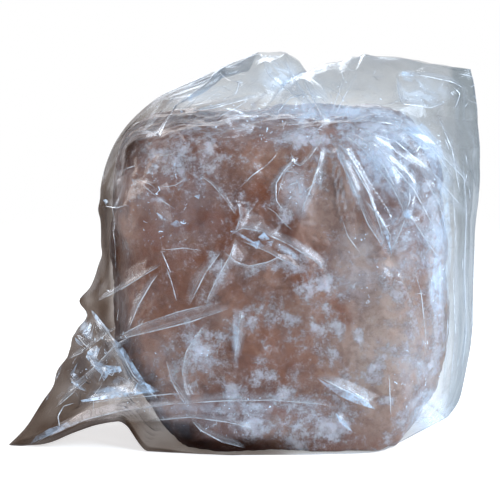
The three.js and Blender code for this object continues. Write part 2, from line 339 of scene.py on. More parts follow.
# Patches of dust on the front, as soft ellipses in the photograph: each has its centre and its half
# sizes in pixels, its strength, and its tilt in degrees where it is tilted.
FRONT_DUST = [
    (280, 270, 24, 12, 0.85, -10), (252, 272, 14, 9, 0.7), (300, 294, 20, 13, 1.0, -20),
    (336, 286, 25, 20, 1.0, 15), (326, 310, 10, 12, 0.9), (340, 328, 7, 22, 0.85, 30),
    (361, 334, 8, 26, 0.95, 22), (384, 295, 9, 8, 0.7), (288, 317, 16, 13, 0.85),
    (251, 312, 15, 11, 0.85), (250, 331, 12, 12, 0.8), (264, 345, 9, 8, 0.7),
    (315, 330, 8, 12, 0.8), (303, 340, 7, 8, 0.6), (202, 356, 16, 15, 0.85),
    (188, 326, 8, 10, 0.7), (214, 334, 9, 8, 0.7), (188, 342, 14, 12, 0.7),
    (198, 386, 13, 12, 0.85), (178, 372, 14, 16, 0.7), (255, 359, 12, 9, 0.85),
    (261, 376, 24, 13, 1.1, 8), (231, 392, 15, 11, 1.05), (287, 388, 13, 12, 1.05),
    (313, 395, 12, 10, 0.8), (336, 356, 13, 14, 0.8), (344, 372, 12, 9, 0.7),
    (300, 366, 12, 8, 0.55), (374, 372, 12, 16, 0.95), (386, 401, 13, 13, 0.95),
    (362, 396, 10, 8, 0.6), (250, 424, 32, 24, 0.95, 12), (222, 414, 20, 12, 0.7),
    (332, 430, 32, 26, 0.98, -15), (300, 442, 26, 12, 0.8), (388, 438, 12, 9, 0.8),
    (412, 416, 12, 14, 0.7), (422, 386, 20, 50, 0.62), (398, 424, 18, 14, 0.75),
    (285, 216, 16, 13, 1.0), (270, 205, 9, 8, 0.6), (160, 150, 15, 11, 0.85, 20),
    (184, 148, 10, 10, 0.9), (205, 146, 11, 9, 0.95, 20), (209, 166, 14, 13, 0.9),
    (222, 162, 9, 14, 0.7), (152, 170, 14, 9, 0.7), (169, 176, 10, 7, 0.65),
    (192, 162, 9, 8, 0.55), (172, 119, 24, 9, 0.55), (196, 132, 9, 7, 0.8),
    (246, 130, 18, 12, 0.65), (140, 150, 10, 20, 0.5, -20), (150, 200, 18, 20, 0.5, 20),
    (166, 212, 8, 13, 0.6), (196, 186, 14, 9, 0.55), (160, 246, 14, 9, 0.5),
    (176, 252, 26, 9, 0.55, 10), (216, 268, 12, 20, 0.7, 20), (162, 272, 16, 12, 0.5),
    (174, 314, 10, 9, 0.75), (160, 300, 9, 8, 0.5), (205, 300, 20, 16, 0.6),
    (300, 138, 52, 16, 1.05), (345, 128, 26, 12, 0.8), (388, 132, 44, 18, 1.0, -10),
    (424, 146, 34, 18, 1.05, -42), (440, 184, 12, 30, 0.9), (388, 166, 34, 22, 0.85, -35),
    (412, 200, 18, 30, 0.75, 20), (366, 178, 12, 16, 0.6, 30), (436, 340, 13, 84, 0.95),
    (426, 420, 16, 24, 0.9, 30), (436, 230, 14, 60, 0.6), (405, 330, 16, 50, 0.3),
    (300, 112, 160, 8, 0.75),
]
# Where fine dust lies between those patches.
DUSTY_AREAS = [
    (300, 300, 80, 60, 0.8), (290, 390, 130, 70, 1.0), (200, 360, 50, 60, 0.8),
    (200, 165, 80, 50, 0.9, -20), (360, 150, 110, 50, 1.0, 10), (415, 300, 50, 150, 0.7),
]
# Rust-red places and pale places of the salt, given in the same way.
RED_SPOTS = [
    (222, 226, 27, 30, 1.0, 20), (236, 216, 10, 12, 1.0), (152, 236, 22, 22, 0.9),
    (186, 232, 16, 8, 0.7), (265, 195, 26, 16, 0.7), (170, 200, 40, 40, 0.45),
    (340, 130, 22, 10, 0.6), (355, 150, 16, 14, 0.5), (268, 338, 3, 3, 1.0),
    (440, 322, 4, 3, 0.8), (170, 290, 44, 60, 0.6), (190, 262, 30, 14, 0.7),
    (280, 350, 46, 44, 0.55), (255, 296, 26, 20, 0.5), (300, 280, 14, 10, 0.5),
    (340, 310, 12, 26, 0.45, 30), (280, 408, 30, 8, 0.7),
]
PALE_PLACES = [
    (386, 345, 60, 114, 0.95, -6), (380, 420, 50, 30, 0.5), (330, 206, 40, 50, 0.45),
    (358, 262, 38, 56, 0.85), (440, 330, 22, 130, 1.0), (296, 192, 20, 28, 0.45, 10),
    (395, 276, 8, 34, 0.9, 25),
]
DUST_STRAY = 7  # how far, in pixels, the patches' outlines wander


def blotches(seen, rows):
    """The strongest of some soft ellipses at each place."""
    strongest = np.zeros(len(seen))
    for x, y, half_across, half_down, strength, *tilt in rows:
        turn = math.radians(tilt[0]) if tilt else 0
        across, down = (seen - np.array([x, y])).T
        along = (across * math.cos(turn) - down * math.sin(turn)) / half_across
        aside = (across * math.sin(turn) + down * math.cos(turn)) / half_down
        near = 1 - smoothstep(0.25, 1.15, np.hypot(along, aside))
        strongest = np.maximum(strongest, strength * near)
    return strongest


def make_chunk():
    points, quads, directions = chunk_points()
    piece = make_mesh("salt_chunk_surface", points, quads)
    front = smoothstep(0.1, -0.25, directions[:, 1])
    warps = [noise(points, 9, seed) + 0.6 * noise(points, 4, seed + 1) for seed in (41, 43)]
    strayed = photo_places(points) + DUST_STRAY * np.stack(warps, axis=1)
    uneven = 0.7 * (0.5 + 0.5 * noise(points, 24, 5)) + 0.45 * (0.5 + 0.5 * noise(points, 9, 6))
    elsewhere = 0.3 + 0.7 * smoothstep(0.42, 0.85, uneven)
    top = smoothstep(0.75, 0.95, directions[:, 2])
    rim = smoothstep(-0.62, -0.2, directions[:, 1]) * smoothstep(-0.5, 0.3, directions[:, 2])
    red = blotches(strayed, RED_SPOTS)
    thin = 0.08 + 0.42 * np.maximum(blotches(strayed, DUSTY_AREAS), rim) * (1 - red)
    patches = 0.85 * blotches(strayed, FRONT_DUST) * (1 - 0.45 * red)
    zones = 0.5 + 0.5 * noise(points, 30, 8)
    back = 1 - front
    dust = front * np.maximum(patches, thin) + back * (0.7 * elsewhere + 0.4 * top)
    add_attribute(piece, "dust", dust)
    add_attribute(piece, "red", front * red + back * smoothstep(0.6, 1, zones))
    pale = front * blotches(strayed, PALE_PLACES) + back * smoothstep(0.3, 0.9, 1 - zones) * 0.7
    add_attribute(piece, "pale", pale)
    return piece, points, quads


# Bag


def along(table, places, column):
    """A table's column at given places, between its rows on a smooth line."""
    fine = np.linspace(table[0][0], table[-1][0], EDGE_SAMPLES)
    line = np.interp(fine, [row[0] for row in table], [row[column] for row in table])
    width = EDGE_SMOOTHING
    before = 2 * line[0] - line[width:0:-1]
    after = 2 * line[-1] - line[-2 : -width - 2 : -1]
    window = np.hanning(2 * width + 1)
    smooth = np.convolve(np.concatenate([before, line, after]), window / window.sum(), "valid")
    return np.interp(places, fine, smooth)


def with_height(flat, z):
    return np.concatenate([flat, np.broadcast_to(z, (len(flat),))[:, None]], axis=1)


def ring(angles, radius):
    return np.stack([radius * np.cos(angles), radius * np.sin(angles)], axis=1)


def outwardness(offsets):
    """Below 1 inside the smooth block, and above 1 outside it."""
    total = np.zeros(offsets.shape[:-1])
    for out, distance in CHUNK_FACES:
        share = offsets @ unit(np.array(out, dtype=float)) / distance
        total += np.maximum(share, 0) ** EDGE_SHARPNESS
    return total ** (1 / EDGE_SHARPNESS)


def block_reach(angles, z):
    """How far the smooth block reaches at a height, at angles from above."""
    level = max(z, CHUNK_BASE_Z) - CHUNK_CENTRE[2]
    inside = np.zeros_like(angles)
    outside = np.full_like(angles, FARTHEST)
    for _ in range(HALVINGS):
        middle = (inside + outside) / 2
        within = outwardness(with_height(ring(angles, middle), level)) < 1
        inside = np.where(within, middle, inside)
        outside = np.where(within, outside, middle)
    return inside


def circle(x, y, radius):
    return np.array([x, y]) + ring(CIRCLE_ANGLES, radius)


def taut(points):
    """Convex outline of 2-D points, anticlockwise."""
    ordered = sorted(map(tuple, points))

    def chain(line):
        out = []
        for p in line:
            while len(out) > 1:
                a, b = out[-2], out[-1]
                if (b[0] - a[0]) * (p[1] - a[1]) > (b[1] - a[1]) * (p[0] - a[0]):
                    break
                out.pop()
            out.append(p)
        return out[:-1]

    return np.array(chain(ordered) + chain(ordered[::-1]))


def evenly(line, count):
    steps = np.linalg.norm(np.diff(line, axis=0), axis=1)
    run = np.concatenate([[0], np.cumsum(steps)])
    places = run[-1] * np.arange(count) / count
    return np.stack([np.interp(places, run, line[:, k]) for k in range(2)], axis=1)


def loop_from(outline):
    """A closed outline from its rightmost point, by the back to its leftmost, and by the front."""
    turned = np.roll(outline, -int(np.argmax(outline[:, 0])), axis=0)
    left = int(np.argmin(turned[:, 0]))
    closed = np.concatenate([turned, turned[:1]])
    return np.concatenate([evenly(closed[: left + 1], BACK_COLUMNS), evenly(closed[left:], FRONT_COLUMNS)])


def section(z):
    """The bag's outline at a height: taut over the block and its two folded side edges."""
    reach = block_reach(OUTLINE_ANGLES, z) + np.interp(z, *FILM_GAPS)
    block = ring(OUTLINE_ANGLES, reach)
    right = circle(along(RIGHT_EDGE, z, 1), along(RIGHT_EDGE, z, 2), FIN_RADIUS)
    kinks = sum(out * math.exp(-(((z - at) / KINK_SPAN) ** 2)) for at, out in EDGE_KINKS)
    left = circle(along(LEFT_EDGE, z, 1) - kinks, along(LEFT_EDGE, z, 2), FIN_RADIUS)
    return with_height(loop_from(taut(np.concatenate([block, right, left]))), float(z))


def rim_loop():
    """The bag's mouth, nearly flat, with its wavy height."""
    first, last = RIM[0][0], RIM[-1][0]
    parts = [
        circle(first + FIN_RADIUS, RIM_DEPTH, FIN_RADIUS),
        circle(last - FIN_RADIUS, RIM_DEPTH, FIN_RADIUS),
        circle((first + last) / 2, RIM_DEPTH, MOUTH_HALF_GAP),
    ]
    flat = loop_from(taut(np.concatenate(parts)))
    return with_height(flat, np.interp(flat[:, 0], [r[0] for r in RIM], [r[1] for r in RIM]))


def lifted(points):
    """The tail raised off the floor beside the block."""
    x, z = points[..., 0], points[..., 2]
    across = smoothstep(TAIL_LIFT["from"], TAIL_LIFT["peak"], x)
    across = across * (1 - smoothstep(TAIL_LIFT["peak"], TAIL_LIFT["to"], x))
    raised = points.copy()
    raised[..., 2] += TAIL_LIFT["height"] * across * np.maximum(0, 1 - z / TAIL_LIFT["fades_at"])
    return raised


def film_grid():
    """The film's smooth form as rows of points around the bag, from its bottom to its mouth."""
    sections = np.array([section(z) for z in np.linspace(0, SHOULDER_Z, SECTION_ROWS)])
    foot, rim = sections[-1], rim_loop()
    turn = foot + TENT_LEAN * (rim - foot)
    turn[:, 2] = rim[:, 2] - TENT_TURN_DROP
    share = (np.arange(1, TENT_ROWS + 1) / TENT_ROWS)[:, None, None]
    tent = (1 - share) ** 2 * foot + 2 * share * (1 - share) * turn + share**2 * rim
    edge = sections[0]
    angles = np.arctan2(edge[:, 1], edge[:, 0])
    footprint = with_height(ring(angles, block_reach(angles, 0) - FOOTPRINT_INSET), 0.0)
    flat = np.array([footprint * share for share in BOTTOM_SHARES])
    shares = (np.arange(1, UNDERSIDE_RINGS) / UNDERSIDE_RINGS)[:, None, None]
    underside = footprint * (1 - shares) + edge * shares
    return np.concatenate([flat, lifted(np.concatenate([underside, sections, tent]))])


def grid_normals(grid):
    around = np.roll(grid, -1, axis=1) - np.roll(grid, 1, axis=1)
    upward = np.gradient(grid, axis=0)
    return unit(np.cross(around, upward) + TINY)


# The film's folds on the front, as they run in the photograph: points of the crest in pixels, then
# the fold's half width and height, and how wide the layer folded over beside it is, in millimetres.
# A minus puts that layer on the other side.
FOLDS = [
    ([(328, 134), (338, 152), (352, 184), (368, 224), (388, 255)], 9, 3.2, 5.0),
    ([(334, 133), (350, 160), (368, 192), (380, 226), (386, 250)], 5, 2.0, 2.5),
    ([(338, 130), (364, 150), (392, 186), (406, 214), (410, 240)], 8, 2.6, 4.0),
    ([(344, 128), (378, 148), (414, 190), (436, 232), (446, 262)], 9, 2.8, 5.0),
    ([(350, 126), (396, 142), (432, 172), (456, 200), (472, 218)], 9, 2.6, -5.0),
    ([(348, 118), (392, 124), (430, 144), (462, 176), (474, 200)], 8, 2.0, 3.5),
    ([(388, 255), (395, 243), (400, 232), (404, 222), (408, 214)], 5, 2.4, 3.0),
    ([(362, 196), (380, 218), (391, 236), (388, 255)], 4, 1.6, -2.0),
    ([(408, 214), (413, 220), (426, 240), (444, 266)], 5, 2.0, 3.0),
    ([(388, 216), (394, 226), (404, 218), (410, 200), (408, 168)], 4, 1.6, 2.0),
    ([(290, 151), (294, 163), (301, 166), (310, 157), (321, 141), (328, 134)], 4, 1.8, 2.0),
    ([(275, 126), (278, 112), (290, 98), (306, 94), (322, 98), (330, 110)], 5, 2.2, 5.0),
    ([(276, 126), (300, 124), (328, 132)], 4, 1.2, 0),
    ([(324, 141), (318, 166), (312, 186), (304, 204), (300, 222)], 6, 1.8, 4.0),
    ([(296, 160), (284, 170), (276, 183), (276, 200), (284, 212)], 4, 1.4, -3.0),
    ([(226, 238), (242, 228), (262, 232), (288, 244), (314, 260), (334, 280)], 6, 2.2, 4.0),
    ([(222, 250), (236, 262), (250, 266), (268, 262), (288, 252)], 4, 1.4, -2.0),
    ([(240, 240), (268, 252), (300, 270)], 4, 1.2, 2.0),
    ([(236, 238), (230, 256), (216, 280), (204, 306)], 5, 1.6, 3.0),
    ([(198, 174), (212, 184), (224, 198), (238, 218)], 4, 1.0, 1.6),
    ([(238, 200), (240, 216), (236, 232)], 3, 1.2, 1.5),
    ([(161, 250), (166, 262), (172, 276)], 3, 1.0, 0),
    ([(162, 250), (184, 248), (206, 251)], 3, 0.8, 0),
    ([(140, 183), (150, 191), (164, 202), (178, 211)], 4, 0.9, 0),
    ([(104, 206), (116, 208), (132, 204)], 3, 1.0, 0),
    ([(115, 340), (150, 332), (190, 322), (236, 306)], 6, 1.8, 4.0),
    ([(115, 338), (142, 324), (178, 312), (226, 300)], 4, 1.0, -2.0),
    ([(96, 302), (120, 290), (146, 274), (166, 262)], 5, 1.4, 2.5),
    ([(128, 332), (138, 306), (152, 282), (160, 272)], 5, 1.6, 3.0),
    ([(166, 266), (172, 284), (178, 306)], 4, 1.2, 0),
    ([(188, 308), (206, 272), (224, 248)], 6, 1.6, 4.0),
    ([(92, 310), (106, 328), (120, 350), (134, 376), (150, 392), (164, 404)], 8, 3.2, -6.0),
    ([(82, 402), (104, 396), (134, 392), (160, 388)], 6, 2.4, 4.0),
    ([(66, 360), (84, 352), (104, 336), (120, 326)], 5, 2.0, 3.0),
    ([(70, 388), (96, 366), (116, 344), (132, 336)], 5, 2.0, -3.0),
    ([(74, 332), (84, 344), (94, 352), (104, 346)], 4, 2.0, 2.0),
    ([(88, 350), (92, 364), (106, 372), (120, 366)], 5, 2.4, 4.0),
    ([(98, 384), (104, 370), (112, 376), (118, 366)], 3, 2.0, 0),
    ([(70, 378), (78, 388), (88, 392)], 3, 1.6, 2.0),
    ([(56, 408), (74, 392), (92, 376)], 5, 1.8, 2.5),
    ([(60, 430), (58, 416), (64, 406), (78, 402)], 4, 1.6, 0),
    ([(28, 448), (50, 434), (84, 420), (124, 410), (170, 404)], 6, 1.6, 0),
    ([(80, 404), (120, 399), (170, 394), (215, 394)], 4, 1.2, 0),
    ([(120, 412), (170, 404), (220, 401), (272, 400), (320, 404), (346, 410)], 5, 1.4, 3.0),
    ([(150, 421), (190, 417), (226, 422), (262, 430)], 4, 1.2, 2.0),
    ([(190, 418), (200, 430), (222, 442), (246, 448)], 5, 1.6, 3.0),
    ([(166, 360), (172, 382), (182, 400), (190, 410)], 6, 1.8, 5.0),
    ([(206, 322), (196, 336), (186, 352), (182, 372), (186, 398)], 5, 1.6, 3.0),
    ([(240, 310), (238, 334), (234, 362)], 3, 1.0, 3.0),
    ([(316, 376), (340, 388), (358, 397), (378, 412)], 5, 2.0, 4.5),
    ([(334, 412), (342, 422), (352, 432)], 4, 1.4, 2.5),
    ([(389, 372), (390, 396), (391, 420)], 2, 0.8, 0),
    ([(342, 218), (348, 236), (362, 256)], 3, 0.8, 0),
    ([(405, 252), (414, 270), (421, 292), (425, 330), (425, 372)], 4, 1.0, 0),
    ([(452, 178), (455, 230), (453, 280), (455, 330), (450, 390), (442, 428)], 5, 1.8, 3.0),
    ([(462, 150), (466, 210), (464, 270), (466, 330), (460, 388)], 5, 1.6, -2.5),
    ([(446, 270), (448, 310), (446, 350), (442, 400)], 4, 1.2, 2.0),
    ([(396, 72), (398, 92), (402, 104), (430, 108), (452, 100)], 4, 1.4, 3.0),
    ([(396, 74), (424, 76), (452, 82), (470, 92)], 4, 1.4, 3.0),
    ([(452, 86), (460, 94), (456, 106), (450, 112)], 3, 1.4, 0),
    ([(436, 112), (452, 150), (460, 196)], 5, 1.4, 2.0),
    ([(340, 66), (344, 80), (336, 100), (330, 118)], 5, 0.8, 0),
    ([(358, 70), (352, 84), (342, 100), (334, 118)], 5, 0.8, 0),
    ([(302, 76), (308, 90), (318, 108), (328, 128)], 5, 2.0, 3.0),
    ([(262, 58), (268, 74), (284, 88), (306, 104)], 5, 2.0, 3.0),
    ([(284, 56), (290, 72), (300, 88), (316, 110)], 5, 2.0, -3.0),
    ([(184, 112), (214, 108), (244, 100), (262, 94)], 5, 1.4, 2.5),
    ([(216, 118), (236, 108), (252, 98)], 4, 1.2, 0),
    ([(216, 70), (228, 80), (246, 84)], 4, 1.4, 0),
    ([(184, 114), (204, 108), (232, 102)], 4, 0.9, 0),
    ([(122, 172), (128, 168), (138, 165)], 3, 0.7, 0),
    ([(116, 270), (116, 254), (115, 240), (112, 226)], 3, 0.8, 0),
    ([(378, 110), (410, 128), (440, 158), (458, 186)], 4, 1.2, 2.0),
    ([(336, 142), (344, 168), (356, 200)], 3, 1.2, 2.0),
    ([(360, 140), (384, 166), (400, 196)], 3, 1.2, 0),
    ([(424, 178), (440, 206), (448, 240)], 3, 1.2, 2.0),
]

# Places where layers of film lie together and turn milk-white, and glow there as a painted highlight, in
# pixels, as for the dust.
MILKY_AND_HIGHLIGHT_PLACES = [
    (172, 200, 64, 70, 0.06), (120, 370, 70, 60, 0.06), (300, 110, 120, 46, 0.12),
    (430, 410, 26, 30, 0.5, 30), (418, 380, 28, 66, 0.17), (240, 415, 110, 26, 0.1),
    (396, 158, 74, 52, 0.34, -48), (412, 232, 38, 52, 0.24), (360, 264, 34, 50, 0.12),
    (380, 150, 60, 26, 0.36, -38), (416, 136, 46, 15, 0.5, -48), (440, 196, 12, 40, 0.34),
    (366, 112, 60, 9, 0.36, -4), (236, 108, 60, 10, 0.08, 6), (420, 190, 46, 22, 0.4, -50),
    (402, 226, 14, 26, 0.35), (304, 112, 26, 20, 0.4), (296, 190, 16, 30, 0.35, 10),
    (288, 252, 16, 4, 0.6, -35), (112, 392, 28, 7, 0.5, 10), (75, 385, 9, 4, 0.5, 40),
    (86, 330, 6, 14, 0.5, 30), (236, 337, 4, 30, 0.45), (230, 408, 120, 8, 0.22),
    (200, 350, 14, 30, 0.2, 30), (422, 92, 30, 18, 0.35), (406, 74, 8, 4, 0.6),
    (280, 78, 24, 20, 0.4), (200, 96, 50, 9, 0.2, 15), (436, 262, 12, 60, 0.4),
    (434, 288, 7, 34, 0.5), (408, 214, 6, 6, 0.9), (382, 240, 3, 18, 0.6, 20),
    (356, 194, 3, 24, 0.5, 25), (158, 200, 10, 4, 0.4),
]


def folded(points, normals, seen, fold):
    """Raises the film to the crest of one fold, with straight sides."""
    line, half_width, height, _ = fold
    line = np.array(line, dtype=float)
    reach = half_width * PIXELS_PER_MM * 1.1
    low, high = line.min(axis=0) - reach, line.max(axis=0) + reach
    near = np.nonzero(((seen > low) & (seen < high)).all(axis=1))[0]
    if not len(near):
        return points
    at = seen[near]
    spans = line[1:] - line[:-1]
    lengths = np.linalg.norm(spans, axis=1)
    share = np.clip(((at[:, None] - line[:-1]) * spans).sum(-1) / lengths**2, 0, 1)
    distance = np.linalg.norm(at[:, None] - (line[:-1] + share[..., None] * spans), axis=-1)
    best = distance.argmin(axis=1)
    pick = np.arange(len(at))
    before = np.concatenate([[0], np.cumsum(lengths)[:-1]])
    run = (before[best] + share[pick, best] * lengths[best]) / lengths.sum()
    taper = smoothstep(0, 0.2, run) * smoothstep(1, 0.8, run)
    climb = np.maximum(0, 1 - distance[pick, best] / reach) * taper
    moved = points.copy()
    moved[near] += (climb * height)[:, None] * normals[near]
    return moved


# Crumpling: how wide and how high the broad, medium, fine and upright facets are, in millimetres.
CRUMPLE_SPACINGS = [(22, 30), (10, 13), (4.5, 5.5), (5, 46)]
RAY_SPACING = (6.5, 70)  # degrees and millimetres, for the folds that run out from the gather
GATHER = np.array([18.0, 122.0])  # x and height of the place that those folds run out from
# Put between the front's places and the back's, in millimetres and degrees, so that they differ.
SIDES_APART = 600.0
TURNS_APART = 720.0


def crumpled(points, normals, front, edge_mask, climb_run):
    """Small creases and facets over the whole film, strongest where it hangs free."""
    x, z = points[:, 0], points[:, 2]
    flat = np.stack([x + np.where(front, 0, SIDES_APART), climb_run], axis=1)
    broad, medium, fine, upright = [facets(flat, size, 21 + i) for i, size in enumerate(CRUMPLE_SPACINGS)]
    away = points[:, [0, 2]] - GATHER
    distance = np.linalg.norm(away, axis=1)
    turn = np.degrees(np.arctan2(away[:, 0], -away[:, 1])) + np.where(front, 0, TURNS_APART)
    rays = facets(np.stack([turn, distance], axis=1), RAY_SPACING, 25)
    free = smoothstep(60, 100, z)
    tail = smoothstep(-62, -80, x) * smoothstep(60, 30, z)
    fin = smoothstep(62, 72, x)
    radial = smoothstep(6, 26, distance) * smoothstep(105, 50, distance) * smoothstep(70, 96, z)
    patchy = 0.5 + 0.5 * noise(points, 26, 31)
    push = 0.9 * broad * (0.5 + 0.8 * free)
    push += 0.55 * medium * (0.5 + 0.6 * free + 0.8 * tail)
    push += 0.28 * fine * patchy * (1 + 0.6 * tail)
    push += 1.1 * np.abs(upright) * fin
    push += 1.7 * rays * radial
    push *= 1 - 0.55 * smoothstep(124, 133, z)
    return points + normals * (push * edge_mask)[:, None]


def film_points():
    """The crumpled and folded film, whether each point is on its front, and its rows and columns."""
    grid = film_grid()
    rows, columns = grid.shape[:2]
    normals = grid_normals(grid).reshape(-1, 3)
    steps = np.linalg.norm(np.diff(grid, axis=0), axis=2)
    climb_run = np.concatenate([np.zeros((1, columns)), np.cumsum(steps, axis=0)]).ravel()
    around = np.linalg.norm(np.roll(grid, -1, axis=1) - grid, axis=2)
    runs = [np.cumsum(half, axis=1) for half in (around[:, :BACK_COLUMNS], around[:, BACK_COLUMNS:])]
    to_edge = np.concatenate([np.minimum(run, run[:, -1:] - run) for run in runs], axis=1).ravel()
    front = np.tile(np.arange(columns), rows) > BACK_COLUMNS
    row = np.repeat(np.arange(rows), columns)
    bottom_rows = len(BOTTOM_SHARES) + UNDERSIDE_RINGS - 1
    edge_mask = 0.12 + 0.88 * smoothstep(0, 9, to_edge)
    edge_mask = edge_mask * smoothstep(bottom_rows - 4, bottom_rows + 6, row)
    points = crumpled(grid.reshape(-1, 3), normals, front, edge_mask, climb_run)
    seen = photo_places(points)
    seen[~front | (row < bottom_rows)] = OUT_OF_PHOTO
    for fold in FOLDS:
        points = folded(points, normals, seen, fold)
    return points, front, rows, columns


def kept_clear(points, chunk_tree, front):
    """Keeps the film outside the chunk, above the floor, and its two lips apart."""
    offsets = points - CHUNK_CENTRE
    distance = np.linalg.norm(offsets, axis=1)
    least = radii(chunk_tree, unit(offsets)) + LEAST_GAP
    inside = distance < least
    points = points.copy()
    points[inside] = CHUNK_CENTRE + offsets[inside] * (least / distance)[inside, None]
    points[:, 2] = np.maximum(points[:, 2], 0.0)
    y = points[:, 1]
    lip = np.where(front, np.minimum(y, RIM_DEPTH - LIPS_APART), np.maximum(y, RIM_DEPTH + LIPS_APART))
    points[:, 1] = np.where(points[:, 2] > LIPS_FROM_Z, lip, y)
    return points


def sharpness(grid):
    """How sharply the film is bent at each point of the grid, outward or inward."""
    below = np.concatenate([grid[:1], grid[:-1]])
    above = np.concatenate([grid[1:], grid[-1:]])
    left = np.roll(grid, 1, axis=1)
    right = np.roll(grid, -1, axis=1)
    bend = np.zeros(grid.shape[:2])
    for one, other in ((below, above), (left, right)):
        first = unit(grid - one + TINY)
        second = unit(other - grid + TINY)
        bend += 1 - (first * second).sum(-1)
    bend[[0, -1]] = bend[[1, -2]]
    return np.clip(bend, 0, 1).ravel()


def make_film(chunk_tree):
    points, front, rows, columns = film_points()
    points = kept_clear(points, chunk_tree, front)
    index = np.arange(rows * columns).reshape(rows, columns)
    right = np.roll(index, -1, axis=1)
    quads = np.stack([index[:-1], right[:-1], right[1:], index[1:]], axis=-1).reshape(-1, 4)
    middle = len(points)
    triangles = [(middle, (i + 1) % columns, i) for i in range(columns)]
    at = np.append(points, [[0.0, 0.0, 0.0]], axis=0)
    piece = make_mesh("plastic_bag_film", at, quads.tolist() + triangles)
    # Painted brown shade on the film's front, none on its underside.
    painted_shade = film_painted_shade(points)
    painted_shade[: UNDERSIDE_RINGS * columns] = 0
    values = {
        "crease": sharpness(points.reshape(rows, columns, 3)),
        "milky_and_highlight": blotches(photo_places(points), MILKY_AND_HIGHLIGHT_PLACES) * front,
        "painted_shade": painted_shade,
        # Painted shade, dull bluish.
        "painted_grey_shade": film_painted_grey_shade(points),
    }
    for name, value in values.items():
        add_attribute(piece, name, np.append(value, 0))
    return piece, points, quads


# Painted shade: the film darkened brown around the upper left corner, in pixels, as for the dust.
PAINTED_SHADE_CORNER = [
    (120, 148, 78, 27, 0.75, 58), (152, 112, 50, 22, 0.62, 30), (212, 112, 66, 15, 0.5, 8),
]


def film_painted_shade(points):
    """Painted shade: how far the front of the clear film is darkened brown: over the tail, along the left
    side, and low on the left.
    """
    x, y, z = points.T
    wander = 3.0 * noise(points, 14, 71)
    beside = smoothstep(-59, -65, x + 0.5 * wander) * smoothstep(118, 88, z + wander)
    edge = -60 + 13 * smoothstep(56, 20, z) + wander
    over = 0.80 * smoothstep(edge + 4, edge - 4, x)
    under = smoothstep(-24, -34, x) * smoothstep(15, 11, z) * smoothstep(-30, -38, y)
    low = smoothstep(9, 4, z + 0.3 * wander) * smoothstep(20, -12, x)
    corner = blotches(photo_places(points), PAINTED_SHADE_CORNER)
    shade_patchiness = 0.80 + 0.20 * noise(points, 7, 72)
    in_front = smoothstep(48, 12, y)
    return np.maximum.reduce([beside, over, under, low, corner]) * shade_patchiness * in_front


def film_painted_grey_shade(points):
    """Painted shade: how far the clear film is darkened to a dull bluish tint: on the fin at the right and
    in the gathered top.
    """
    x, _, z = points.T
    fin = smoothstep(64, 70, x)
    shoulder = 0.6 * smoothstep(36, 56, x) * smoothstep(84, 104, z)
    gathered = (0.40 + 0.1 * smoothstep(-30, 20, x)) * smoothstep(122, 131, z)
    shade_patchiness = 0.88 + 0.12 * noise(points, 12, 73)
    return np.maximum.reduce([fin, shoulder, gathered]) * shade_patchiness


# Creases: the folded-over layer beside a fold, and the fine rib that the film forms along a crest.

CREST_STEP = 1.3
CREASE_STEP = 1.4
FILM_LIFT = 0.12  # how far ribs and layers stay off the film
RIB_PROFILE = np.array([-1.0, 0.0, 1.0])
LAYER_OFFSETS = np.array([0.0, 0.25, 0.5, 0.75, 1.0])
LAYER_LIFTS = (0.5, 0.45, 0.35, 0.25, 0.05)
LAYER_FADE = 0.85
LOWEST = 0.05  # and off the floor
FACING_FRONT = 0.35  # film that faces less far back than this can carry a fold
FEWEST_STEPS = 4
SMALL_CREASES = 420
FLOOR_CLEAR = 4  # no small crease starts lower than this
BLOCK_HALF_WIDTH = 58
# Where the film's upper left corner carries painted brown shade.
SHADED_CORNER_X = -40
SHADED_CORNER_Z = 60
FIN_FROM_X = 64
GATHERED_FROM_Z = 100
SKIPPED_SHARE = 0.6  # of the small creases on the block's front and at the corner with painted brown shade
FAINT_SHARE = 0.6  # how wide those on the block and at the back are, beside the others


def camera_hit(tree, pixel):
    """Where the line of sight through a pixel of the photograph first meets a surface."""
    ahead = Vector((0, math.cos(CAMERA_RISE), -math.sin(CAMERA_RISE)))
    up = Vector((0, math.sin(CAMERA_RISE), math.cos(CAMERA_RISE)))
    across = float(pixel[0] - AIM_PIXEL[0]) / PIXELS_PER_MM
    above = float(AIM_PIXEL[1] - pixel[1]) / PIXELS_PER_MM
    start = Vector(AIM) - CAMERA_DISTANCE * ahead
    sight = CAMERA_DISTANCE * ahead + across * Vector((1, 0, 0)) + above * up
    return tree.ray_cast(start, sight.normalized())


def laid_line(tree, line):
    """A fold's crest on the film, as closely spaced points and the film's directions out of it."""
    line = np.array(line, dtype=float)
    spans = np.linalg.norm(np.diff(line, axis=0), axis=1)
    run = np.concatenate([[0], np.cumsum(spans)])
    places = np.arange(0, run[-1], CREST_STEP * PIXELS_PER_MM)
    pixels = np.stack([np.interp(places, run, line[:, k]) for k in range(2)], axis=1)
    hits = [camera_hit(tree, pixel) for pixel in pixels]
    hits = [hit for hit in hits if hit[0] is not None and hit[1].y < FACING_FRONT]
    return np.array([hit[0] for hit in hits]), np.array([hit[1] for hit in hits])


def wandering_line(tree, rng, start, heading, length):
    """A short crease that runs along the film from a point on it."""
    place, out, _, _ = tree.find_nearest(Vector(start))
    heading = Vector(heading)
    places, outs = [], []
    for _ in range(int(length / CREASE_STEP)):
        heading = (heading - out * heading.dot(out)).normalized()
        places.append(place)
        outs.append(out)
        heading = heading + Vector(rng.normal(0, 0.10, 3))
        place, out, _, _ = tree.find_nearest(place + heading * CREASE_STEP)
    return np.array(places), np.array(outs)


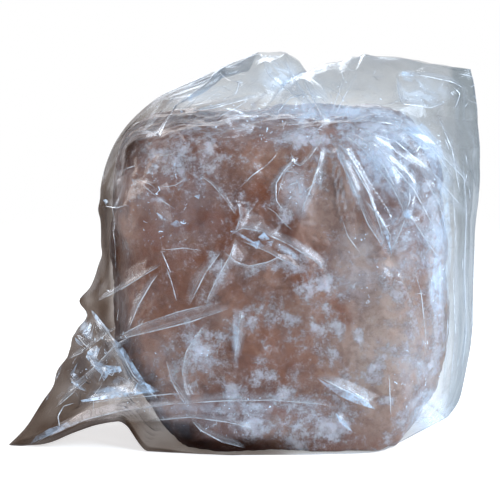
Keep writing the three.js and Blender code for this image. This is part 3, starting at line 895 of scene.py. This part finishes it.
def strip(tree, places, outs, offsets, lifts, fade=0.0):
    """A strip along a line. `offsets` and `lifts` say, for each point across it, how far aside of
    the line and how far off the film it is, where the line is at its full width. With `fade`, it
    also gets weaker towards its far side."""
    ahead = unit(np.gradient(places, axis=0) + TINY)
    outs = unit(outs + np.roll(outs, 1, axis=0) + np.roll(outs, -1, axis=0))
    aside = unit(np.cross(outs, ahead) + TINY)
    bell = np.clip(np.sin(math.pi * np.linspace(0, 1, len(places))), 0, 1)
    wavering = 1 + 0.3 * noise(places, 9, 61)
    full = (np.sqrt(bell) * (wavering if fade else 1))[:, None]
    columns = []
    for offset, lift in zip(offsets, lifts):
        column = places + aside * full * offset
        if abs(offset) > 1:
            column = np.array([tree.find_nearest(Vector(place))[0] for place in column])
        column = column + outs * (FILM_LIFT + lift * full)
        column[:, 2] = np.maximum(column[:, 2], LOWEST)
        columns.append(column)
    grid = np.stack(columns, axis=1)
    index = np.arange(grid[..., 0].size).reshape(grid.shape[:2])
    quads = np.stack([index[:-1, :-1], index[:-1, 1:], index[1:, 1:], index[1:, :-1]], axis=-1)
    share = np.linspace(0, 1, grid.shape[1])
    strength = smoothstep(0, 0.5, bell)[:, None] * (1 - fade * share**1.5)
    across = np.broadcast_to(share, strength.shape)
    return grid.reshape(-1, 3), quads.reshape(-1, 4), strength.ravel(), across.ravel()


def fold_strips(tree):
    """Ribs along the crests of the folds, and the layers folded over beside them."""
    ribs, layers = [], []
    for line, _, height, layer in FOLDS:
        places, outs = laid_line(tree, line)
        if len(places) < FEWEST_STEPS:
            continue
        rib = 0.12 + 0.05 * height
        ribs.append(strip(tree, places, outs, RIB_PROFILE * rib, (0, 1.1 * rib, 0)))
        if layer:
            layers.append(strip(tree, places, outs, LAYER_OFFSETS * layer, LAYER_LIFTS, LAYER_FADE))
    return ribs, layers


def small_creases(tree, points):
    """Short ribs over the rest of the film, upright on the fin and outwards from the gather."""
    rng = np.random.default_rng(77)
    gather = np.array([GATHER[0], RIM_DEPTH, 130.0])
    free = points[points[:, 2] > FLOOR_CLEAR]
    ribs = []
    for start in free[rng.integers(0, len(free), SMALL_CREASES)]:
        x, y, z = start
        heading = rng.normal(0, 1, 3)
        chance, long, size = rng.random(), rng.random(), rng.random()
        on_block = y < 0 and abs(x) < BLOCK_HALF_WIDTH and z < SHOULDER_Z
        on_shaded_corner = x < SHADED_CORNER_X and z > SHADED_CORNER_Z
        if (on_block or on_shaded_corner) and chance < SKIPPED_SHARE:
            continue
        if x > FIN_FROM_X:
            heading = heading * 0.25 + np.array([0, 0, 1])
        if z > GATHERED_FROM_Z:
            heading = heading * 0.5 + unit(start - gather)
        length = 10 + 14 * size if long > 0.7 and not on_block else 3 + 6 * size
        places, outs = wandering_line(tree, rng, start, heading, length)
        rib = (0.07 + 0.11 * size) * (FAINT_SHARE if on_block or y > 0 else 1)
        if len(places) >= FEWEST_STEPS:
            ribs.append(strip(tree, places, outs, RIB_PROFILE * rib, (0, 1.2 * rib, 0)))
    return ribs


# Painted highlights: facets of the film drawn bright and glowing where they catch the light, as they
# show in the photograph: how bright, how warm, and the outline in pixels from its brightest corner.
PAINTED_HIGHLIGHT_FACETS = [
    (1.0, 0, [(93, 311), (97, 315), (105, 325), (110, 331), (107, 331), (100, 324), (94, 317), (91, 310)]),
    (0.8, 0, [(150, 389), (146, 386), (136, 377), (129, 364), (119, 350), (110, 334), (124, 348),
              (136, 368)]),
    (0.9, 0, [(140, 379), (160, 391), (150, 393), (132, 393), (136, 385)]),
    (1.0, 0, [(82, 402), (81, 400), (105, 395), (132, 392), (158, 389), (132, 396), (105, 399)]),
    (0.6, 0, [(134, 393), (125, 386), (107, 387), (88, 398), (108, 394)]),
    (1.0, 0, [(120, 366), (122, 371), (110, 373), (104, 381), (101, 374), (92, 365), (100, 362),
              (106, 365)]),
    (0.9, 0, [(88, 351), (96, 345), (100, 349), (97, 357), (100, 362), (92, 365), (86, 357)]),
    (0.45, 0, [(92, 325), (88, 338), (84, 336), (83, 332), (90, 322)]),
    (0.6, 0, [(75, 337), (80, 341), (86, 344), (81, 346), (76, 342)]),
    (0.9, 0, [(72, 380), (82, 387), (87, 391), (81, 389), (71, 382)]),
    (0.45, 0, [(60, 431), (43, 438), (30, 444), (36, 436), (50, 428), (68, 422), (80, 420)]),
    (0.2, 1, [(57, 424), (82, 412), (112, 407), (170, 401), (170, 407), (110, 418), (82, 422), (62, 427)]),
    (1.0, 0, [(375, 409), (355, 403), (340, 396), (327, 387), (316, 377), (330, 385), (345, 389),
              (362, 396)]),
    (1.0, 0, [(336, 413), (343, 419), (353, 432), (345, 427), (339, 421)]),
    (1.0, 0, [(264, 232), (270, 239), (262, 241), (258, 237)]),
    (1.0, 0, [(264, 246), (256, 249), (250, 243), (259, 240)]),
    (0.8, 0, [(273, 241), (271, 248), (266, 246), (267, 241)]),
    (0.35, 0, [(64, 358), (60, 372), (52, 390), (45, 404), (50, 386), (57, 368)]),
    (0.45, 0, [(112, 342), (122, 350), (128, 363), (118, 356)]),
    (0.3, 0, [(132, 382), (126, 389), (110, 384), (118, 375)]),
    (0.5, 0, [(78, 362), (74, 372), (80, 378), (76, 384), (70, 374)]),
    (0.45, 1, [(66, 422), (84, 411), (110, 404), (140, 401), (175, 402), (140, 408), (108, 413),
               (84, 421), (50, 436)]),
    (0.22, 1, [(150, 142), (166, 138), (176, 150), (170, 172), (152, 176), (144, 162)]),
    (0.25, 1, [(196, 138), (212, 142), (222, 160), (218, 176), (204, 172), (198, 156)]),
    (0.3, 1, [(172, 222), (160, 220), (152, 208), (158, 198), (170, 204)]),
    (0.22, 1, [(117, 180), (128, 172), (124, 196), (116, 206)]),
    (0.22, 1, [(240, 205), (262, 216), (276, 240), (252, 226), (240, 234)]),
    (0.8, 0, [(106, 199), (109, 202), (106, 204), (103, 200)]),
    (0.9, 0, [(152, 163), (159, 166), (157, 169), (153, 167)]),
    (0.9, 0, [(184, 219), (185, 224), (182, 222)]),
    (0.58, 1, [(290, 255), (302, 269), (290, 262), (275, 253)]),
    (0.36, 1, [(310, 250), (320, 272), (308, 263), (300, 245)]),
    (0.14, 1, [(235, 238), (262, 267), (226, 286), (205, 305), (195, 302), (212, 270), (222, 257)]),
    (0.2, 1, [(292, 168), (312, 170), (308, 190), (300, 218), (278, 216), (276, 186)]),
    (0.9, 0, [(423, 122), (420, 128), (412, 131)]),
    (0.42, 0, [(424, 124), (440, 142), (450, 180), (446, 215), (436, 180), (424, 150), (402, 128)]),
    (0.42, 0, [(448, 200), (452, 240), (448, 300), (438, 320), (434, 280), (436, 230)]),
    (0.3, 0, [(300, 116), (330, 108), (372, 108), (400, 116), (372, 122), (330, 122)]),
    (0.3, 0, [(356, 150), (380, 150), (402, 178), (400, 206), (384, 190), (366, 172)]),
    (1.0, 0, [(407, 210), (409, 214), (413, 217), (408, 220), (403, 215)]),
    (0.9, 0, [(392, 255), (386, 238), (382, 225), (379, 214), (385, 224), (389, 237)]),
    (0.6, 0, [(335, 145), (342, 162), (353, 183), (347, 176), (338, 158)]),
    (0.45, 0, [(402, 71), (415, 75), (412, 82), (402, 80)]),
    (0.9, 0, [(189, 93), (193, 95), (192, 101), (188, 100)]),
    (1.0, 0, [(180, 110), (183, 111), (181, 114)]),
    (0.58, 1, [(177, 131), (183, 135), (186, 142), (181, 138)]),
    (0.58, 1, [(145, 144), (150, 147), (149, 151)]),
    (0.5, 1, [(160, 166), (159, 169), (151, 167), (149, 163)]),
    (0.58, 1, [(156, 183), (142, 184), (136, 182), (146, 180)]),
    (0.65, 1, [(167, 182), (170, 189), (162, 190), (158, 187)]),
    (1.0, 0, [(194, 196), (200, 194), (199, 199)]),
    (1.0, 0, [(156, 212), (161, 215), (168, 221), (160, 218)]),
    (0.7, 0, [(177, 220), (183, 225), (176, 227), (170, 224)]),
    (0.8, 0, [(230, 231), (235, 230), (250, 239), (260, 246), (247, 240)]),
    (0.5, 1, [(215, 143), (219, 147), (209, 152)]),
    (0.5, 0, [(434, 258), (441, 262), (441, 300), (436, 322), (430, 300)]),
    (0.36, 1, [(160, 236), (163, 247), (168, 250), (162, 252)]),
]
FACET_STEP = 2.0
FACET_LIFT = Vector((0, 0.35, 0))


def within(places, outline):
    """Which 2-D places lie inside an outline."""
    inside = np.zeros(len(places), dtype=bool)
    for (ax, ay), (bx, by) in zip(outline, np.roll(outline, -1, axis=0)):
        spans = (ay > places[:, 1]) != (by > places[:, 1])
        slope = (bx - ax) / (by - ay) if by != ay else 0.0
        inside ^= spans & (places[:, 0] < ax + slope * (places[:, 1] - ay))
    return inside


def painted_highlight_facet(tree, bright, warm, outline):
    """One painted highlight, a glowing facet laid on the film: its points and triangles, and how bright
    and warm each point is.
    """
    outline = np.array(outline, dtype=float)
    edge = []
    for start, end in zip(outline, np.roll(outline, -1, axis=0)):
        count = max(1, int(np.linalg.norm(end - start) / FACET_STEP))
        edge.extend(start + (end - start) * k / count for k in range(count))
    low, high = outline.min(axis=0), outline.max(axis=0)
    steps = [np.arange(low[k] + 1, high[k], FACET_STEP) for k in range(2)]
    grid = np.stack(np.meshgrid(*steps), axis=-1).reshape(-1, 2)
    flat = [Vector(place) for place in edge] + [Vector(place) for place in grid[within(grid, outline)]]
    laid, _, faces = geometry.delaunay_2d_cdt(flat, [], [list(range(len(edge)))], 1, 1e-5)[:3]
    hits = [camera_hit(tree, place) for place in laid]
    spans = np.linalg.norm(np.array([place[:] for place in laid]) - outline[0], axis=1)
    strength = bright * (1 - 0.6 * spans / spans.max())
    points = np.array([hit[0] - FACET_LIFT if hit[0] else (0, 0, 0) for hit in hits])
    kept = [face for face in faces if all(hits[i][0] is not None for i in face)]
    return points, kept, strength, np.full(len(points), float(warm))


# Materials

WHITE = (1, 1, 1, 1)
SALT_DARK = (0.20, 0.074, 0.042, 1)
SALT_LIGHT = (0.38, 0.20, 0.132, 1)
SALT_VEIN = (0.53, 0.335, 0.25, 1)
SALT_DEEP = (0.125, 0.040, 0.022, 1)
SALT_PALE = (0.60, 0.47, 0.40, 1)
SALT_RUST = (0.24, 0.060, 0.010, 1)
SALT_SPECK = (0.10, 0.05, 0.035, 1)
DUST_THIN = (0.58, 0.53, 0.56, 1)
DUST_THICK = (0.80, 0.80, 0.885, 1)
DUST_RAGGEDNESS = 6.0
FILM_CLEAR = (0.90, 0.905, 0.91, 1)
# Painted shade: a dull bluish tint that darkens the clear film.
FILM_SHADE_GREY = (0.51, 0.55, 0.575, 1)
# Painted shade: a brown tint that darkens the clear film.
FILM_SHADE_BROWN = (0.185, 0.128, 0.090, 1)
FILM_SHEEN = (0.80, 0.88, 0.98, 1)
LAYER_CLEAR = (0.93, 0.935, 0.94, 1)
RIB_CLEAR = (0.97, 0.97, 0.97, 1)
# Milk-white film colour, and the glow that paints its highlights.
MILK = (0.72, 0.80, 0.92, 1)
PAINTED_HIGHLIGHT_GLOW = (0.45, 0.70, 1.0, 1)
# Colours of the painted highlights on the film's facets.
HIGHLIGHT_WARM = (0.66, 0.62, 0.64, 1)
HIGHLIGHT_COOL = (0.55, 0.68, 0.86, 1)
FLOOR_PALE = (0.86, 0.86, 0.86, 1)
FLOOR_GLOW = 0.60
FLOOR_FADES = (0.16, 0.55)  # from and to this far from the origin, in metres


class Nodes:
    """The nodes of a material or of the world, and short ways to add more."""

    def __init__(self, owner):
        owner.use_nodes = True
        self.owner = owner
        self.tree = owner.node_tree
        self.tree.nodes.clear()

    def add(self, kind, inputs=None, **settings):
        node = self.tree.nodes.new(kind)
        for key, value in settings.items():
            setattr(node, key, value)
        for key, value in (inputs or {}).items():
            if isinstance(value, bpy.types.NodeSocket):
                self.tree.links.new(value, node.inputs[key])
            else:
                node.inputs[key].default_value = value
        return node

    def math(self, operation, first, second, clamp=False):
        inputs = {0: first, 1: second}
        return self.add("ShaderNodeMath", inputs, operation=operation, use_clamp=clamp).outputs[0]

    def plus(self, first, second, clamp=False):
        return self.math("ADD", first, second, clamp)

    def times(self, first, second, clamp=False):
        return self.math("MULTIPLY", first, second, clamp)

    def mapped(self, value, low, high, to_low=0.0, to_high=1.0):
        inputs = {"Value": value, "From Min": low, "From Max": high, "To Min": to_low, "To Max": to_high}
        return self.add("ShaderNodeMapRange", inputs, interpolation_type="SMOOTHSTEP").outputs[0]

    def place(self):
        return self.add("ShaderNodeTexCoord").outputs["Object"]

    def noise(self, scale, detail, roughness, distortion=0.0, stretch=(1, 1, 1)):
        place = self.add("ShaderNodeVectorMath", {0: self.place(), 1: stretch}, operation="MULTIPLY")
        inputs = {
            "Vector": place.outputs[0],
            "Scale": scale,
            "Detail": detail,
            "Roughness": roughness,
            "Distortion": distortion,
        }
        return self.add("ShaderNodeTexNoise", inputs).outputs["Fac"]

    def attribute(self, name):
        return self.add("ShaderNodeAttribute", attribute_name=name).outputs["Fac"]

    def mix(self, share, first, second):
        return self.add("ShaderNodeMix", {0: share, 6: first, 7: second}, data_type="RGBA").outputs[2]

    def bump(self, strength, distance, height):
        inputs = {"Strength": strength, "Distance": distance, "Height": height}
        return self.add("ShaderNodeBump", inputs).outputs[0]

    def clear(self, tint):
        return self.add("ShaderNodeBsdfTransparent", {"Color": tint}).outputs[0]

    def principled(self, inputs):
        return self.add("ShaderNodeBsdfPrincipled", inputs).outputs[0]

    def mix_shader(self, share, first, second):
        return self.add("ShaderNodeMixShader", {0: share, 1: first, 2: second}).outputs[0]

    def finished(self, shader):
        self.add("ShaderNodeOutputMaterial", {"Surface": shader})
        return self.owner


def material_nodes(name):
    return Nodes(bpy.data.materials.new(name))


def salt_colour(n):
    """Cloudy brown-red salt with paler veins, rust-red and pale places, and dark specks."""
    veins = n.noise(75, 7, 0.68, 1.0)
    colour = n.mix(n.mapped(n.noise(30, 5, 0.6), 0.34, 0.68), SALT_DARK, SALT_LIGHT)
    colour = n.mix(n.mapped(veins, 0.5, 0.74, 0, 0.5), colour, SALT_VEIN)
    colour = n.mix(n.mapped(veins, 0.48, 0.28, 0, 0.6), colour, SALT_DEEP)
    colour = n.mix(n.times(n.attribute("pale"), 0.74), colour, SALT_PALE)
    colour = n.mix(n.mapped(n.noise(180, 7, 0.75), 0.44, 0.62, 0, 0.42), colour, SALT_DEEP)
    rusty = n.times(n.attribute("red"), n.mapped(veins, 0.3, 0.6, 0.5, 1.0))
    colour = n.mix(n.times(rusty, 0.92), colour, SALT_RUST)
    return n.mix(n.mapped(n.noise(900, 2, 0.5), 0.70, 0.74, 0, 0.6), colour, SALT_SPECK)


def salt_material():
    """Salt under thin dust, flecks and thick crusts of dust, all of them ragged."""
    n = material_nodes("rock_salt_surface")
    ragged = n.plus(n.times(n.noise(240, 12, 0.86), 0.68), n.times(n.noise(70, 4, 0.6), 0.32))
    spread = n.times(n.math("SUBTRACT", ragged, 0.5), DUST_RAGGEDNESS)
    density = n.plus(n.attribute("dust"), spread)
    flecks = n.mapped(n.noise(560, 3, 0.6), 0.60, 0.68, 0, 0.5)
    crumbling = n.mapped(n.noise(330, 6, 0.8), 0.36, 0.6, 0.55, 1)
    crust = n.times(n.mapped(density, 0.46, 0.92), crumbling)
    colour = n.mix(n.mapped(density, 0.12, 0.75, 0, 0.36), salt_colour(n), DUST_THIN)
    colour = n.mix(n.times(flecks, n.mapped(density, 0.0, 0.6)), colour, DUST_THIN)
    colour = n.mix(n.times(crust, 0.88), colour, DUST_THICK)
    relief = n.plus(n.times(n.noise(420, 4, 0.7), 0.5), n.times(crust, 1.2))
    inputs = {
        "Base Color": colour,
        "Roughness": n.mapped(crust, 0, 1, 0.32, 0.85),
        "Normal": n.bump(0.6, 0.0007, relief),
        "Specular IOR Level": 0.35,
        "Subsurface Weight": 0.3,
        "Subsurface Radius": (1.0, 0.45, 0.3),
        "Subsurface Scale": 0.005,
        "IOR": 1.54,
    }
    return n.finished(n.principled(inputs))


def film_layer(n, tint, cover, bump, roughness, metallic):
    """Clear film: tinted see-through, under a bright sheen whose share is `cover`."""
    inputs = {"Base Color": FILM_SHEEN, "Metallic": metallic, "Roughness": roughness, "Normal": bump}
    return n.mix_shader(cover, n.clear(tint), n.principled(inputs))


def crinkled(n, scale, height):
    crinkle = n.plus(n.noise(scale, 3, 0.6), n.times(n.noise(4 * scale, 2, 0.5), 0.3))
    return n.bump(0.3, height, crinkle)


def grazing_share(n, most):
    grazing = n.add("ShaderNodeLayerWeight", {"Blend": 0.35}).outputs["Facing"]
    return n.times(n.math("POWER", grazing, 2.2), most)


def film_material():
    """Clear film with painted brown and dull bluish shade, milk-white where its layers lie together, and
    with painted highlights and glints that glow there.
    """
    n = material_nodes("clear_film_surface")
    painted_shade, painted_grey_shade, milky_and_highlight = n.attribute("painted_shade"), n.attribute("painted_grey_shade"), n.attribute("milky_and_highlight")
    cover = n.plus(0.03, grazing_share(n, 0.40))
    cover = n.plus(cover, n.mapped(n.noise(60, 5, 0.65), 0.4, 0.8, 0, 0.06))
    cover = n.plus(cover, n.mapped(n.attribute("crease"), 0.02, 0.4, 0, 0.30))
    upright = n.mapped(n.noise(130, 5, 0.6, 0.0, (1, 1, 0.12)), 0.45, 0.72, 0, 0.28)
    cover = n.plus(cover, n.times(upright, painted_grey_shade))
    # Painted shade: where the film is darkened brown, it loses most of its sheen.
    cover = n.times(cover, n.mapped(painted_shade, 0, 0.6, 1, 0.14), clamp=True)
    # Painted shade: the clear film tinted dull bluish and brown.
    tint = n.mix(painted_shade, n.mix(painted_grey_shade, FILM_CLEAR, FILM_SHADE_GREY), FILM_SHADE_BROWN)
    bump = crinkled(n, 240, 0.0004)
    broken = n.mapped(n.noise(150, 6, 0.62, 0.8), 0.38, 0.58, 0.30, 1.0)
    # Painted glints: small glowing flecks where the film is a little milk-white.
    glints = n.mapped(n.noise(420, 3, 0.6, 1.6), 0.665, 0.70, 0, 0.8)
    glints = n.times(glints, n.mapped(milky_and_highlight, 0.02, 0.05))
    inputs = {
        "Base Color": MILK,
        "Roughness": 0.25,
        "Normal": bump,
        "Emission Color": PAINTED_HIGHLIGHT_GLOW,
        "Emission Strength": 0.62,
    }
    # Milk-white film together with painted highlights that glow.
    milk_and_highlight_share = n.plus(n.times(n.times(milky_and_highlight, broken), 0.85), glints, clamp=True)
    film = film_layer(n, tint, cover, bump, 0.17, 0.7)
    return n.finished(n.mix_shader(milk_and_highlight_share, film, n.principled(inputs)))


def layer_material():
    """A layer folded over: streaks along the fold, strongest at its crest and faded outwards."""
    n = material_nodes("folded_film_surface")
    strength = n.attribute("strength")
    place = n.plus(n.times(n.attribute("across"), 3.0), n.times(n.noise(26, 2, 0.5), 5.0))
    streaks = n.add("ShaderNodeTexNoise", {"W": place, "Scale": 4.0, "Detail": 4.0}, noise_dimensions="1D")
    cover = n.plus(0.11, grazing_share(n, 0.3))
    cover = n.plus(cover, n.mapped(streaks.outputs["Fac"], 0.45, 0.75, 0, 0.45))
    cover = n.times(cover, strength, clamp=True)
    tint = n.mix(strength, WHITE, LAYER_CLEAR)
    return n.finished(film_layer(n, tint, cover, crinkled(n, 300, 0.0004), 0.24, 0.4))


def rib_material():
    n = material_nodes("film_rib_surface")
    broken = n.mapped(n.noise(130, 5, 0.7), 0.34, 0.6, 0.06, 0.95)
    cover = n.times(broken, n.attribute("strength"))
    return n.finished(film_layer(n, RIB_CLEAR, cover, crinkled(n, 400, 0.0002), 0.25, 0.35))


# Painted highlights: glowing facets of film, cool or warm, broken up by noise.
def painted_highlight_material():
    n = material_nodes("film_painted_highlight_surface")
    warm = n.attribute("warm")
    broken = n.mapped(n.noise(300, 6, 0.72, 0.8), 0.38, 0.6, 0.18, 1.0)
    cover = n.times(n.times(n.attribute("strength"), broken), 0.92, clamp=True)
    inputs = {
        "Base Color": n.mix(warm, HIGHLIGHT_COOL, HIGHLIGHT_WARM),
        "Metallic": 0.3,
        "Roughness": 0.2,
        "Normal": crinkled(n, 300, 0.0003),
        "Emission Color": n.mix(warm, PAINTED_HIGHLIGHT_GLOW, HIGHLIGHT_WARM),
        "Emission Strength": 0.45,
    }
    return n.finished(n.mix_shader(cover, n.clear(WHITE), n.principled(inputs)))


def floor_material():
    """A pale matt floor around the object, which runs out into the white backdrop."""
    n = material_nodes("floor_paint")
    matt = n.add("ShaderNodeBsdfDiffuse", {"Color": FLOOR_PALE}).outputs[0]
    glow = n.add("ShaderNodeEmission", {"Color": WHITE, "Strength": FLOOR_GLOW}).outputs[0]
    lit = n.add("ShaderNodeAddShader", {0: matt, 1: glow}).outputs[0]
    away = n.add("ShaderNodeVectorMath", {0: n.place()}, operation="LENGTH").outputs["Value"]
    shown = n.mix_shader(n.mapped(away, *FLOOR_FADES), lit, n.clear(WHITE))
    seen = n.add("ShaderNodeLightPath").outputs["Is Camera Ray"]
    return n.finished(n.mix_shader(seen, matt, shown))


# Studio: sizes and places in metres

FLOOR_HALF = 30.0
FLOOR_DROP = 0.0002
LIGHT_AIM = Vector((0, 0, 0.07))
# Each light's name, place, size, watts and colour.
LIGHTS = [
    ("window_right", (0.62, -0.36, 0.52), (0.6, 0.6), 6.5, (0.82, 0.91, 1.0)),
    ("window_strip", (0.50, -0.50, 0.42), (0.03, 0.5), 1.4, (0.80, 0.90, 1.0)),
    ("window_back", (-0.25, 0.85, 0.28), (0.9, 0.5), 7.0, (0.90, 0.94, 1.0)),
    ("room_left", (-0.75, 0.02, 0.36), (0.4, 0.5), 2.4, (1.0, 0.88, 0.78)),
]
# Colour and strength of the room's light: as the camera sees it, as it falls, and as it is mirrored.
BACKDROP = (WHITE, 1.0)
AROUND = ((0.82, 0.89, 1.0, 1), 0.38)
MIRRORED = ((0.86, 0.92, 1.0, 1), 0.42)
FILM_LAYERS_SEEN = 32


def make_floor():
    mesh = bpy.data.meshes.new("floor")
    corners = [(-1, -1, 0), (1, -1, 0), (1, 1, 0), (-1, 1, 0)]
    mesh.from_pydata([FLOOR_HALF * Vector(corner) for corner in corners], [], [(0, 1, 2, 3)])
    mesh.materials.append(floor_material())
    floor = placed("floor", mesh)
    floor.location.z = -FLOOR_DROP


def make_camera():
    data = bpy.data.cameras.new("camera")
    data.sensor_width = SENSOR
    data.lens = SENSOR * PIXELS_PER_MM * CAMERA_DISTANCE / IMAGE_PIXELS
    data.shift_x = (IMAGE_PIXELS / 2 - AIM_PIXEL[0]) / IMAGE_PIXELS
    data.shift_y = (AIM_PIXEL[1] - IMAGE_PIXELS / 2) / IMAGE_PIXELS
    camera = placed("camera", data)
    away = Vector((0, -math.cos(CAMERA_RISE), math.sin(CAMERA_RISE)))
    camera.location = (Vector(AIM) + CAMERA_DISTANCE * away) / METRE
    camera.rotation_euler = (-away).to_track_quat("-Z", "Y").to_euler()
    bpy.context.scene.camera = camera


def make_light(name, place, size, watts, colour):
    data = bpy.data.lights.new(name, "AREA")
    data.shape = "RECTANGLE"
    data.size, data.size_y = size
    data.energy = watts
    data.color = colour
    light = placed(name, data)
    light.location = place
    light.rotation_euler = (LIGHT_AIM - Vector(place)).to_track_quat("-Z", "Y").to_euler()


def make_world():
    world = bpy.data.worlds.new("studio")
    n = Nodes(world)
    backdrop, around, mirrored = [
        n.add("ShaderNodeBackground", {"Color": colour, "Strength": strength}).outputs[0]
        for colour, strength in (BACKDROP, AROUND, MIRRORED)
    ]
    path = n.add("ShaderNodeLightPath")
    room = n.mix_shader(path.outputs["Is Glossy Ray"], around, mirrored)
    shown = n.mix_shader(path.outputs["Is Camera Ray"], room, backdrop)
    n.add("ShaderNodeOutputWorld", {"Surface": shown})
    bpy.context.scene.world = world


def make_studio():
    make_floor()
    make_camera()
    make_world()
    for light in LIGHTS:
        make_light(*light)
    scene = bpy.context.scene
    scene.view_settings.view_transform = "Standard"
    scene.cycles.transparent_max_bounces = FILM_LAYERS_SEEN


def dressed(piece, material, node):
    """Gives a piece its material, and puts it in the place of a CAD node."""
    piece.data.materials.append(material)
    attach(piece, "root")
    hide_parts(node)


def main():
    chunk, chunk_at, chunk_quads = make_chunk()
    dressed(chunk, salt_material(), "salt_chunk")
    film, film_at, film_quads = make_film(BVHTree.FromPolygons(chunk_at.tolist(), chunk_quads.tolist()))
    dressed(film, film_material(), "plastic_bag")
    film_tree = BVHTree.FromPolygons(film_at.tolist(), film_quads.tolist())
    ribs, layers = fold_strips(film_tree)
    ribs += small_creases(film_tree, film_at)
    ribs = joined("plastic_bag_ribs", ribs, ["strength", "across"])
    dressed(ribs, rib_material(), "plastic_bag")
    layers = joined("plastic_bag_folds", layers, ["strength", "across"])
    dressed(layers, layer_material(), "plastic_bag")
    # Painted highlights laid over the film.
    lit = [painted_highlight_facet(film_tree, *row) for row in PAINTED_HIGHLIGHT_FACETS]
    lit = joined("plastic_bag_painted_highlights", lit, ["strength", "warm"])
    dressed(lit, painted_highlight_material(), "plastic_bag")
    make_studio()


main()
